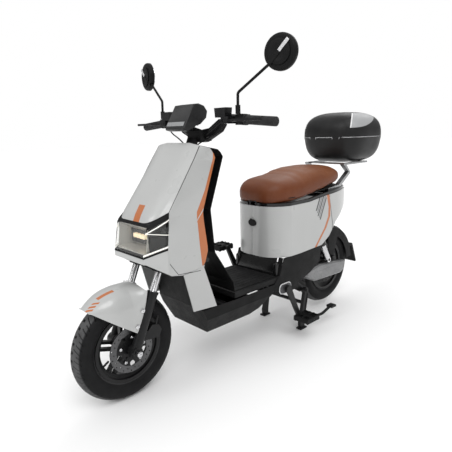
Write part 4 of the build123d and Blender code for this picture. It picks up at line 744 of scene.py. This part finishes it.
def front_cowl():
    """Side fairings, leg shield and chin with eased corners and the arched top."""
    for node, name, finish, slot, corner, drop in (
        ("side_fairings", "fairing_shells", "fairing_paint", "white_paint", 0.012, 0.0),
        ("inner_leg_shield", "leg_shield_shell", "plastic", "black_plastic", 0.006, 2.0),
        ("chin_panel", "chin_shell", "paint", "white_paint", 0.016, None),
    ):
        piece = node_copy(node, name)
        if drop is not None:
            for y, z, lean in PANEL_ARCH:
                for side in (1, -1):
                    with editing(piece, whole=True):
                        bpy.ops.mesh.bisect(
                            plane_co=(0, side * y / 1000, (z - drop) / 1000),
                            plane_no=(0, side * sin(radians(lean)), cos(radians(lean))),
                            use_fill=True, clear_outer=True,
                        )
        ease_corners(piece, corner, 18, 70)
        settle(piece, BODY_OF[node], finish, (node,), 40)


def ease_corners(piece, corner, low, high, clamp=True, shortest=0.012):
    """Rounds the edges that turn between low and high degrees and are long enough."""
    with editing(piece, "EDGE") as mesh:
        if pick(piece, mesh.edges, lambda e: len(e.link_faces) == 2
                and radians(low) < e.calc_face_angle() < radians(high) and e.calc_length() > shortest):
            bpy.ops.mesh.bevel(offset=corner, offset_type="OFFSET", segments=8, profile=0.5, clamp_overlap=clamp)


def add_box(name, low, high):
    low, high = Vector(low), Vector(high)
    bpy.ops.mesh.primitive_cube_add(size=1, location=(low + high) / 2, scale=high - low)
    piece = fresh(name)
    return piece


def headlamp():
    """Reflector tray with LED cells behind the lens, light bars and the black border."""
    tray = add_box("lamp_tray", spot(-148, -96, 555), spot(-60, 96, 652))
    with editing(tray, "VERT") as mesh:
        pick(tray, mesh.verts, lambda v: v.co.x > spot(-70, 0, 0).x and v.co.z > 0.6)
        bpy.ops.transform.translate(value=(-0.014, 0, 0))
    with editing(tray) as mesh:
        pick(tray, mesh.faces, lambda f: f.normal.x > 0.7)
        bpy.ops.mesh.inset(thickness=0.003)
        bpy.ops.mesh.inset(thickness=0.017, depth=-0.040)
        bpy.ops.mesh.inset(thickness=0.003, depth=-0.012)
    settle(tray, "chassis", "reflector_tray", ("headlight_housing",))
    backing = add_box("lamp_backing", spot(-112, -70, 576), spot(-107, 70, 632))
    ease_corners(backing, 0.0008, 60, 120)
    settle(backing, "chassis", "piano")
    for index, y in enumerate((-31, -10.5, 10.5, 31)):
        cell = add_box(f"lamp_cell_{index}", spot(-107, y - 6.5, 598), spot(-94, y + 6.5, 614))
        with editing(cell) as mesh:
            pick(cell, mesh.faces, lambda f: f.normal.x > 0.7)
            bpy.ops.mesh.inset(thickness=0.0015)
            bpy.ops.mesh.inset(thickness=0.002, depth=0.002)
        ease_corners(cell, 0.0008, 60, 120)
        settle(cell, "chassis", "led")
    for side, hand in SIDES:
        wing = add_box(f"lamp_{hand}_wing", spot(-132, side * 99, 560), spot(-72, side * 131, 668))
        with editing(wing, "VERT") as mesh:
            pick(wing, mesh.verts, lambda v: v.co.x > spot(-80, 0, 0).x and abs(v.co.y) > 0.12)
            bpy.ops.transform.translate(value=(-0.046, 0, 0))
        ease_corners(wing, 0.002, 20, 120)
        settle(wing, "chassis", "piano")
    edge = Vector((0.4763, 0, 0.8793))
    lens_band("lamp_border_front", 1.006, [((-138, 0, 703), edge, -0.006, 0.02)], "plastic")
    lens_band("lamp_border_side", 1.007, [((-138, 0, 703), edge, -0.015, 0.02), ((0, 99, 0), (0, 1, 0), 0, 0.06)],
              "plastic", True)
    lens_band("lamp_sill", 1.006, [((-121, 0, 572), (0.3257, 0, 0.9455), -0.02, 0.0045)], "plastic")
    for name, start, end, half in (
        ("lamp_brow_high", (-62, 634), (-130, 676), 0.0014),
        ("lamp_brow_low", (-62, 634), (-130, 626), 0.0012),
        ("lamp_sill_bar", (-56, 560), (-122, 584), 0.0024),
    ):
        slope = Vector((start[1] - end[1], 0, end[0] - start[0])).normalized()
        lens_band(name, 1.003, [((start[0], 0, start[1]), slope, -half, half),
                                ((-60, 96, 0), (0, 1, 0), 0, 0.06)], "light_bar", True)


def lens_band(name, grow, cuts, finish, both=False):
    """A strip of the lens's own surface, lifted off it; a cut keeps what lies from near to far of a plane."""
    low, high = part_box("headlight_lens")
    middle = Vector(((low.x + high.x) / 2, 0, (low.z + high.z) / 2))
    for side in ((1, -1) if both else (1,)):
        piece = node_copy("headlight_lens", name + ("_right" if side < 0 else ""))
        with editing(piece, whole=True):
            bpy.ops.transform.resize(value=(grow, grow, grow), center_override=middle)
        for place, normal, near, far in cuts:
            normal = Vector(normal).normalized()
            normal.y *= side
            base = spot(place[0], place[1] * side, place[2])
            for offset, facing in ((near, -1), (far, 1)):
                with editing(piece, whole=True):
                    bpy.ops.mesh.bisect(plane_co=base + normal * offset, plane_no=normal * facing,
                                        use_fill=True, clear_outer=True)
        settle(piece, "chassis", finish)


# ---- tyres
TREAD_STEPS = 264
TREAD_PERIOD = 12
GROOVE_DEPTH = 0.0035


def groove_lean(y, half):
    return 0.15 * (abs(y) / half) ** 1.4


def tyre(node, name):
    """A torus in the CAD tyre's place with leaning tread grooves cut into it."""
    low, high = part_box(node)
    hub = (low + high) / 2
    half = (high.y - low.y) / 2
    outer = (high.z - low.z) / 2
    bpy.ops.mesh.primitive_torus_add(
        major_segments=TREAD_STEPS, minor_segments=36, major_radius=outer - half, minor_radius=half,
        location=hub, rotation=(pi / 2, 0, 0),
    )
    piece = fresh(name)
    for vertex in piece.data.vertices:
        arm = vertex.co - hub
        turn = groove_lean(arm.y, half)
        vertex.co = hub + Matrix.Rotation(turn, 3, "Y") @ arm
    dress(piece, "tyre")
    piece.data.materials.append(FINISHES["groove"].material)

    def grooved(face):
        arm = face.calc_center_median() - hub
        if hypot(arm.x, arm.z) < outer - 0.55 * half:
            return False
        arm = Matrix.Rotation(-groove_lean(arm.y, half), 3, "Y") @ arm
        step = int((atan2(arm.z, arm.x) + pi) / (2 * pi) * TREAD_STEPS + 0.01)
        side = step if arm.y > 0 else step + TREAD_PERIOD // 2
        reach = abs(arm.y)
        if reach < 0.0035:
            return step % TREAD_PERIOD in (2, 3, 8, 9)
        if side % TREAD_PERIOD == 0:
            return reach < 0.030
        if side % TREAD_PERIOD == 5:
            return 0.013 < reach < 0.034
        return side % TREAD_PERIOD == 9 and 0.022 < reach < 0.034

    with editing(piece) as mesh:
        pick(piece, mesh.faces, grooved)
        bpy.ops.mesh.extrude_region_move()
        depth = (outer - GROOVE_DEPTH) / outer
        bpy.ops.transform.resize(value=(depth, 1, depth), center_override=hub)
        piece.active_material_index = 1
        bpy.ops.object.material_slot_assign()
    settle(piece, BODY_OF[node], None, (node,), 50)


# ---- seat
SEAT_TOP = [(-690, 742), (-715, 758), (-755, 766), (-810, 765), (-860, 766), (-905, 773), (-955, 785), (-1010, 792),
            (-1100, 794), (-1180, 792), (-1205, 787), (-1227, 778)]
SEAT_BASE = [(-690, 652), (-720, 648), (-800, 647), (-881, 654), (-960, 666), (-1034, 679), (-1153, 700), (-1240, 718)]
SEAT_FRONT = -693.0
SEAT_BACK = -1236.0
SEAT_HALF = 146.0
SEAT_BELLY = 0.40
SWELL_CAP = 0.003
SWELL_FRAMES = 20


def read_line(points, x):
    """Height at x along a line of (x, height) points, eased from point to point."""
    for (x0, z0), (x1, z1) in zip(points, points[1:]):
        if x >= x1:
            share = min(max((x0 - x) / (x0 - x1), 0), 1)
            share = share * share * (3 - 2 * share)
            return z0 + (z1 - z0) * share
    return points[-1][1]


def rounded(value, power):
    """A signed power, for squared-off rounds."""
    return abs(value) ** power * (1 if value >= 0 else -1)


def seat():
    """Leather saddle: a stepped crowned form with a hanging skirt, swollen as cloth over its foam."""
    bpy.ops.mesh.primitive_uv_sphere_add(segments=64, ring_count=72, radius=1, rotation=(0, pi / 2, 0))
    piece = fresh("leather_saddle")
    centre = (SEAT_FRONT + SEAT_BACK) / 2
    length = (SEAT_FRONT - SEAT_BACK) / 2
    for vertex in piece.data.vertices:
        along, around = vertex.co.x, atan2(vertex.co.z, vertex.co.y)
        x = centre + along * length
        power, lift = (3.4, 3.2) if along > 0 else (7.0, 7.0)
        plan = max(1 - abs(along) ** power, 0) ** (1 / power)
        lift = lift if vertex.co.z >= 0 else 8.0
        rise = max(1 - abs(along) ** lift, 0) ** (1 / lift)
        top, base = read_line(SEAT_TOP, x), read_line(SEAT_BASE, x)
        half = SEAT_HALF - (8 if along < 0 else 0) * abs(along) ** 2
        level = base + (top - base) * SEAT_BELLY
        up = vertex.co.z >= 0
        reach = (top - level) if up else (level - base)
        y = half * plan * rounded(cos(around), 0.72 if up else 0.3)
        z = level + rise * reach * rounded(sin(around), 0.8 if up else 0.42)
        vertex.co = spot(x, y, z)
    only(piece)
    remesh = piece.modifiers.new("even_mesh", "REMESH")
    remesh.mode = "VOXEL"
    remesh.voxel_size = 0.0055
    bpy.ops.object.modifier_apply(modifier=remesh.name)
    kept = [vertex.co.copy() for vertex in piece.data.vertices]
    cloth = piece.modifiers.new("swell", "CLOTH")
    for key, value in (("quality", 5), ("mass", 0.3), ("use_pressure", True), ("uniform_pressure_force", 4)):
        setattr(cloth.settings, key, value)
    cloth.settings.effector_weights.gravity = 0
    cloth.point_cache.frame_start = 1
    cloth.point_cache.frame_end = SWELL_FRAMES
    for step in range(1, SWELL_FRAMES + 1):
        bpy.context.scene.frame_set(step)
    only(piece)
    bpy.ops.object.modifier_apply(modifier=cloth.name)
    bpy.context.scene.frame_set(1)
    for vertex, start in zip(piece.data.vertices, kept):
        shift = vertex.co - start
        if shift.length > SWELL_CAP:
            vertex.co = start + shift.normalized() * SWELL_CAP
    add_modifier(piece, "SMOOTH", factor=0.5, iterations=6)
    add_modifier(piece, "SUBSURF", levels=1, render_levels=1)
    settle(piece, "seat", "leather", ("seat_cushion",), 180)


# ---- screws and mirror glass
def round_head(name, place, facing, radius, height, body, finish):
    """Domed screw head with a hex socket."""
    facing = Vector(facing).normalized()
    turn = Vector((0, 0, 1)).rotation_difference(facing).to_euler()
    bpy.ops.mesh.primitive_cylinder_add(vertices=24, radius=radius, depth=height,
                                        location=place + facing * height / 2, rotation=turn)
    piece = fresh(name)
    with editing(piece) as mesh:
        pick(piece, mesh.faces, lambda f: f.normal.dot(facing) > 0.9)
        bpy.ops.mesh.inset(thickness=radius * 0.3, depth=height * 0.35)
        bpy.ops.mesh.inset(thickness=radius * 0.28)
        bpy.ops.mesh.inset(thickness=radius * 0.02, depth=-height * 0.7)
    return settle(piece, body, finish)


def screws():
    """Two fender screws on each fork leg."""
    for side, hand in SIDES:
        for index, (x, y, z) in enumerate(((-38, 84.5, 354), (-12, 84.5, 301))):
            round_head(f"fender_{hand}_screw_{index}", spot(x, side * (y - 1.5), z), (0, side, 0), 0.0085, 0.004,
                       "fork_lower", "chrome")


MIRROR_TOE = radians(13)


def mirrors():
    """Silvered glass in each mirror head."""
    for side, hand in SIDES:
        low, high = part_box(f"{hand}_mirror_head")
        middle = (low + high) / 2
        rear = Vector((-cos(MIRROR_TOE), -side * sin(MIRROR_TOE), 0))
        turn = Vector((0, 0, 1)).rotation_difference(rear).to_euler()
        bpy.ops.mesh.primitive_circle_add(vertices=72, radius=0.053, fill_type="NGON", location=(0, 0, 0))
        glass = bpy.context.object
        glass.name = f"{hand}_mirror_glass"
        depth = max(abs((v.co - middle).dot(rear)) for v in frame["nodes"][f"{hand}_mirror_head"].data.vertices)
        with editing(glass, whole=True):
            bpy.ops.mesh.inset(thickness=0.0015, depth=0.0006)
        glass.rotation_euler = turn
        glass.location = middle + rear * (depth - 0.0012)
        add_modifier(glass, "SOLIDIFY", thickness=0.001, offset=-1)
        settle(glass, f"{hand}_mirror", "mirror")


# ---- front fender
FENDER_R = 236.0
FENDER_TIP = 51.0
FENDER_TAIL = 104.0
FENDER_BEND = 0.76
FENDER_NOSE = 0.42
FENDER_HUB = 206
FENDER_HALF = 84
FENDER_SHOULDER_DROP = 12
SKIRT_TIP, SKIRT_HEEL, SKIRT_BACK = (143, 37, 386), (-10, 84, 276), (-64, 82, 424)


def front_fender():
    """One crowned sheet from the crown line down to the skirt ends at the fork legs."""
    bpy.ops.mesh.primitive_grid_add(x_subdivisions=56, y_subdivisions=48, size=2)
    piece = bpy.context.object
    piece.name = "fender_shell"
    only(piece)
    for vertex in piece.data.vertices:
        along = (vertex.co.x + 1) / 2
        across = vertex.co.y
        angle = radians(FENDER_TIP + (FENDER_TAIL - FENDER_TIP) * along)
        crown = Vector((FENDER_R * cos(angle), 0, FENDER_HUB + FENDER_R * sin(angle)))
        spread = FENDER_NOSE + (1 - FENDER_NOSE) * sin(min(1, along * 1.9) * pi / 2)
        reach = FENDER_R - FENDER_SHOULDER_DROP
        shoulder = Vector((reach * cos(angle), 82 * spread, FENDER_HUB + reach * sin(angle)))
        if along < FENDER_BEND:
            share = along / FENDER_BEND
            skirt = Vector(SKIRT_TIP).lerp(Vector(SKIRT_HEEL), share)
            skirt.y = FENDER_HALF * spread
        else:
            share = (along - FENDER_BEND) / (1 - FENDER_BEND)
            skirt = Vector(SKIRT_HEEL).lerp(Vector(SKIRT_BACK), share)
            skirt.x -= 7 * sin(pi * share)
        low, high = abs(across), 1 - abs(across)
        bulge = Vector((crown.x, 48 * spread, crown.z - 1))
        place = (crown * high ** 3 + bulge * 3 * low * high ** 2 + shoulder * 3 * low ** 2 * high + skirt * low ** 3)
        vertex.co = spot(place.x, place.y * (1 if across >= 0 else -1), place.z)
    with editing(piece, whole=True):
        bpy.ops.mesh.normals_make_consistent(inside=False)
    if sum(polygon.normal.z for polygon in piece.data.polygons) < 0:
        with editing(piece, whole=True):
            bpy.ops.mesh.flip_normals()
    add_modifier(piece, "SOLIDIFY", thickness=0.0025, offset=-1)
    settle(piece, "fork_lower", "fender_paint", ("front_fender",), 50)


# ---- top box
BOX_MIDDLE = -1432.0
BOX_HALF_LENGTH = 177.0
BOX_HALF_WIDTH = 182.0
BOX_SEAM = 926.0
BOX_DOME = 133.0
BOX_BOWL = 133.0
BOX_WALL = 0.003
BOX_PLAN = 3.4
BOX_LID_PROFILE = 3.0
BOX_BOWL_PROFILE = 3.6
BOX_BOWL_DRAW = 0.90
BOX_LIP = 0.3
HINGE_GAP = (52, 91)


def box_shell(name, rise, profile, drawn=1.0):
    """Half of a rounded case, above or below the seam, hollow and open at the seam."""
    bpy.ops.mesh.primitive_uv_sphere_add(segments=128, ring_count=64, radius=1)
    piece = bpy.context.object
    piece.name = name
    only(piece)
    with editing(piece, "VERT") as mesh:
        pick(piece, mesh.verts, lambda v: v.co.z * rise < -0.001)
        bpy.ops.mesh.delete(type="VERT")
    for vertex in piece.data.vertices:
        turn = atan2(vertex.co.y, vertex.co.x)
        reach = rounded(hypot(vertex.co.x, vertex.co.y), 2 / profile)
        height = rounded(min(abs(vertex.co.z), 1), 2 / profile)
        taper = 1 - (1 - drawn) * height
        x = BOX_MIDDLE + BOX_HALF_LENGTH * rounded(cos(turn), 2 / BOX_PLAN) * reach * taper
        y = BOX_HALF_WIDTH * rounded(sin(turn), 2 / BOX_PLAN) * reach * taper
        vertex.co = spot(x, y, BOX_SEAM + rise * height * (BOX_DOME if rise > 0 else BOX_BOWL) + rise * BOX_LIP)
    add_modifier(piece, "SOLIDIFY", thickness=BOX_WALL, offset=-1)
    dress(piece, "box")
    return piece


def top_box():
    lid = box_shell("box_lid_dome", 1, BOX_LID_PROFILE)
    settle(lid, "box_lid", None, ("top_box_lid",), 40)
    bowl = box_shell("box_bowl", -1, BOX_BOWL_PROFILE, BOX_BOWL_DRAW)
    settle(bowl, "chassis", None, ("top_box_base",), 40)
    bpy.ops.mesh.primitive_circle_add(vertices=160, radius=1)
    strip = bpy.context.object
    strip.name = "box_seam_strip"
    only(strip)
    for vertex in strip.data.vertices:
        turn = atan2(vertex.co.y, vertex.co.x)
        vertex.co = spot(BOX_MIDDLE + (BOX_HALF_LENGTH - 1) * rounded(cos(turn), 2 / BOX_PLAN),
                         (BOX_HALF_WIDTH - 1) * rounded(sin(turn), 2 / BOX_PLAN), BOX_SEAM + 1)
    with editing(strip, "EDGE") as mesh:
        pick(strip, mesh.edges, lambda e: True)
        bpy.ops.mesh.extrude_edges_move(TRANSFORM_OT_translate={"value": (0, 0, 0.0035)})
    with editing(strip) as mesh:
        pick(strip, mesh.faces, lambda f: f.calc_center_median().x > spot(-1275, 0, 0).x
             and HINGE_GAP[0] / 1000 < abs(f.calc_center_median().y) < HINGE_GAP[1] / 1000)
        bpy.ops.mesh.delete(type="FACE")
    with editing(strip, whole=True):
        bpy.ops.mesh.normals_make_consistent(inside=False)
    add_modifier(strip, "SOLIDIFY", thickness=0.0024, offset=0)
    settle(strip, "box_lid", "chrome")
    for count, y in enumerate((-HINGE_GAP[1], -HINGE_GAP[0], *HINGE_GAP)):
        x = BOX_MIDDLE + BOX_HALF_LENGTH * (1 - (abs(y) / BOX_HALF_WIDTH) ** BOX_PLAN) ** (1 / BOX_PLAN)
        tick = add_box(f"box_hinge_edge_{count}", spot(x - 2, y - 1.3, BOX_SEAM - 6),
                       spot(x + 1, y + 1.3, BOX_SEAM + 4.5))
        settle(tick, "box_lid", "chrome")


# ---- display, mirrors and small body parts
def placed_plate(name, middle, normal, sizes, roll, body, finish, corner):
    """A rounded plate lying on a face with the given normal, turned by roll about it."""
    bpy.ops.mesh.primitive_cube_add(size=1)
    piece = bpy.context.object
    piece.name = name
    piece.scale = sizes
    only(piece)
    bpy.ops.object.transform_apply(location=True, rotation=True, scale=True)
    ease_corners(piece, corner, 60, 120)
    normal = Vector(normal).normalized()
    side = Vector((0, 1, 0))
    side = (side - normal * side.dot(normal)).normalized()
    turn = Matrix((side, normal.cross(side), normal)).transposed() @ Matrix.Rotation(radians(roll), 3, "Z")
    piece.matrix_world = Matrix.Translation(middle) @ turn.to_4x4()
    return settle(piece, body, finish)


def display():
    """Rounded display case with a pale strip low on its face."""
    case = node_copy("display", "display_case")
    ease_corners(case, 0.005, 60, 120, False, 0)
    settle(case, "steering", "screen", ("display",), 45)
    face = Vector((0, 0, 0))
    for polygon in frame["nodes"]["display"].data.polygons:
        if polygon.normal.x > 0.5:
            face += polygon.normal * polygon.area
    face.normalize()
    level = max(v.co.dot(face) for v in frame["nodes"]["display"].data.vertices)
    place = spot(-289.5, 0, 1006)
    place += face * (level + 0.0002 - place.dot(face))
    placed_plate("display_strip", place, face, (0.104, 0.017, 0.0016), 0, "steering",
                 "silver_grey", 0.0005)


def mirror_trim():
    """Step rings and a bright leaf on the back of each mirror head."""
    for side, hand in SIDES:
        low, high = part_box(f"{hand}_mirror_head")
        middle = (low + high) / 2
        front = Vector((cos(MIRROR_TOE), side * sin(MIRROR_TOE), 0))
        depth = max((v.co - middle).dot(front) for v in frame["nodes"][f"{hand}_mirror_head"].data.vertices)
        lift = middle + front * (depth - 0.001)
        across = Vector((-front.y, front.x, 0)) * side
        bpy.ops.mesh.primitive_circle_add(vertices=72, radius=0.041, fill_type="NGON")
        step = bpy.context.object
        step.name = f"{hand}_mirror_step"
        with editing(step, whole=True):
            bpy.ops.mesh.extrude_region_move(TRANSFORM_OT_translate={"value": (0, 0, 0.0022)})
            bpy.ops.mesh.inset(thickness=0.002, depth=0.0008)
            bpy.ops.mesh.inset(thickness=0.014, depth=0.0008)
            bpy.ops.mesh.inset(thickness=0.002, depth=-0.001)
        step.rotation_euler = Vector((0, 0, 1)).rotation_difference(front).to_euler()
        step.location = lift
        settle(step, f"{hand}_mirror", "plastic")
        for name, reach, length, wide, tall, finish, slot in (
            ("leaf", 0.024, 0.052, 0.012, 0.0045, "bright_trim", "chrome_tube"),
            ("root", -0.022, 0.05, 0.016, 0.006, "plastic", "black_plastic"),
        ):
            place = lift + (across + Vector((0, 0, 1))).normalized() * reach + front * 0.003
            placed_plate(f"{hand}_mirror_{name}", place, front, (length, wide, tall), 45 * side, f"{hand}_mirror",
                         finish, tall * 0.4)


def body_details():
    """Mirror trim, corner posts by the riser, charge surround, axle nut and disc bolts."""
    mirror_trim()
    for side, hand in SIDES:
        near, far = sorted((side * 108, side * 134))
        post = add_box(f"riser_{hand}_corner", spot(-747, near, 316), spot(-714, far, 386))
        ease_corners(post, 0.011, 60, 120)
        settle(post, "chassis", "piano")
    low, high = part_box("charge_cap")
    bpy.ops.mesh.primitive_circle_add(vertices=64, radius=0.016, fill_type="NGON", rotation=(0, pi / 2, 0))
    surround = bpy.context.object
    surround.name = "charge_surround"
    surround.scale = (1, 1.5, 1)
    surround.location = (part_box("pod_shell")[1].x - 0.0012, (low.y + high.y) / 2 + 0.008,
                         (low.z + high.z) / 2 - 0.001)
    add_modifier(surround, "SOLIDIFY", thickness=0.003, offset=0)
    settle(surround, "chassis", "plastic")
    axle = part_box("front_axle")[1].y
    round_head("axle_nut", Vector((FRONT_AXLE.x, axle - 0.001, FRONT_AXLE.z)), (0, 1, 0), 0.011, 0.006,
               "fork_lower", "chrome")
    disc_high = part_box("front_brake_disc")[1]
    for index in range(5):
        turn = radians(20 + 72 * index)
        place = Vector((FRONT_AXLE.x + 0.05 * cos(turn), disc_high.y - 0.0005, FRONT_AXLE.z + 0.05 * sin(turn)))
        round_head(f"disc_bolt_{index}", place, (0, 1, 0), 0.006, 0.004, "front_wheel", "chrome")


def soft_edges():
    """Panels and castings that keep their CAD form, with their edges eased; the chrome tubes' range runs from 70 down
    to 35 degrees, so none of their edges is eased.
    """
    for node, name, finish, slot, corner, low, high in (
        ("swing_arm_cover", "arm_cover_cast", "cast_cover", "silver_alloy", 0.0045, 30, 110),
        ("fork_stanchions", "stanchion_tubes", "chrome", "chrome_tube", 0.0008, 70, 35),
        ("left_shock_rod", "left_shock_sleeve", "chrome", "chrome_tube", 0.0008, 70, 35),
        ("right_shock_rod", "right_shock_sleeve", "chrome", "chrome_tube", 0.0008, 70, 35),
        ("bar_clamp", "bar_wing", "plastic", "black_plastic", 0.004, 30, 110),
        ("riser_panel", "riser_face", "piano", "gloss_black", 0.002, 30, 110),
        ("lower_side_covers", "lower_covers_moulded", "plastic", "black_plastic", 0.002, 30, 110),
        ("left_pedal", "left_pedal_tread", "plastic", "black_plastic", 0.0015, 40, 110),
        ("right_pedal", "right_pedal_tread", "plastic", "black_plastic", 0.0015, 40, 110),
    ):
        piece = node_copy(node, name)
        ease_corners(piece, corner, low, high)
        settle(piece, BODY_OF[node], finish, (node,), 35)


def side_plates():
    """Rounded crank plates with bright rims on both sides, and the groove in the swing-arm cover."""
    for side, hand in SIDES:
        for name, x, y, z, wide, tall, thick, finish in (
            ("rim", -757, 149, 262, 0.084, 0.050, 0.004, "bright_trim"),
            ("plate", -757, 151, 262, 0.076, 0.042, 0.004, "grey_metal"),
        ):
            middle, half = spot(x, side * y, z), Vector((wide, thick, tall)) / 2
            piece = add_box(f"{hand}_crank_{name}", middle - half, middle + half)
            with editing(piece, "EDGE") as mesh:
                pick(piece, mesh.edges, lambda e: abs((e.verts[0].co - e.verts[1].co).y) > 0.003)
                bpy.ops.mesh.bevel(offset=tall * 0.42, offset_type="OFFSET", segments=8, profile=0.5)
            ease_corners(piece, 0.0012, 60, 120, True, 0)
            settle(piece, "chassis", finish)
    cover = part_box("swing_arm_cover")
    groove = add_box("cover_groove", Vector((cover[0].x + 0.10, cover[1].y - 0.0035, 0.262)),
                     Vector((cover[1].x - 0.09, cover[1].y + 0.0004, 0.267)))
    with editing(groove) as mesh:
        pick(groove, mesh.faces, lambda f: f.normal.y > 0.9)
        bpy.ops.mesh.inset(thickness=0.0012, depth=-0.0015)
    settle(groove, "swing_arm", "grey_metal")


def brake_lines():
    """Two short hoses from the lever perches down to the fork crown."""
    route = ((-376, 171.5, 1000), (-376, 150, 974), (-370, 92, 952), (-354, 29.5, 925), (-349, 29, 892))
    for side, hand in SIDES:
        line = bpy.data.curves.new(f"{hand}_brake_hose", "CURVE")
        line.dimensions = "3D"
        line.bevel_depth = 0.0026
        line.bevel_resolution = 4
        line.use_fill_caps = True
        run = line.splines.new("NURBS")
        run.points.add(len(route) - 1)
        for point, (x, y, z) in zip(run.points, route):
            point.co = (*spot(x, side * y, z), 1)
        run.order_u = 3
        run.use_endpoint_u = True
        run.resolution_u = 16
        hose = bpy.data.objects.new(f"{hand}_brake_hose", line)
        bpy.context.scene.collection.objects.link(hose)
        hose.data.materials.append(FINISHES["hose"].material)
        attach(hose, "steering")
        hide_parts("brake_hoses")
        x, y, z = route[0]


# ---- build
set_camera()
set_studio()
make_finishes()
dress_nodes()
front_panel()
front_cowl()
headlamp()
tyre("front_tyre", "front_tyre_treaded")
tyre("rear_tyre", "rear_tyre_treaded")
seat()
screws()
mirrors()
front_fender()
top_box()
display()
body_details()
soft_edges()
side_plates()
brake_lines()
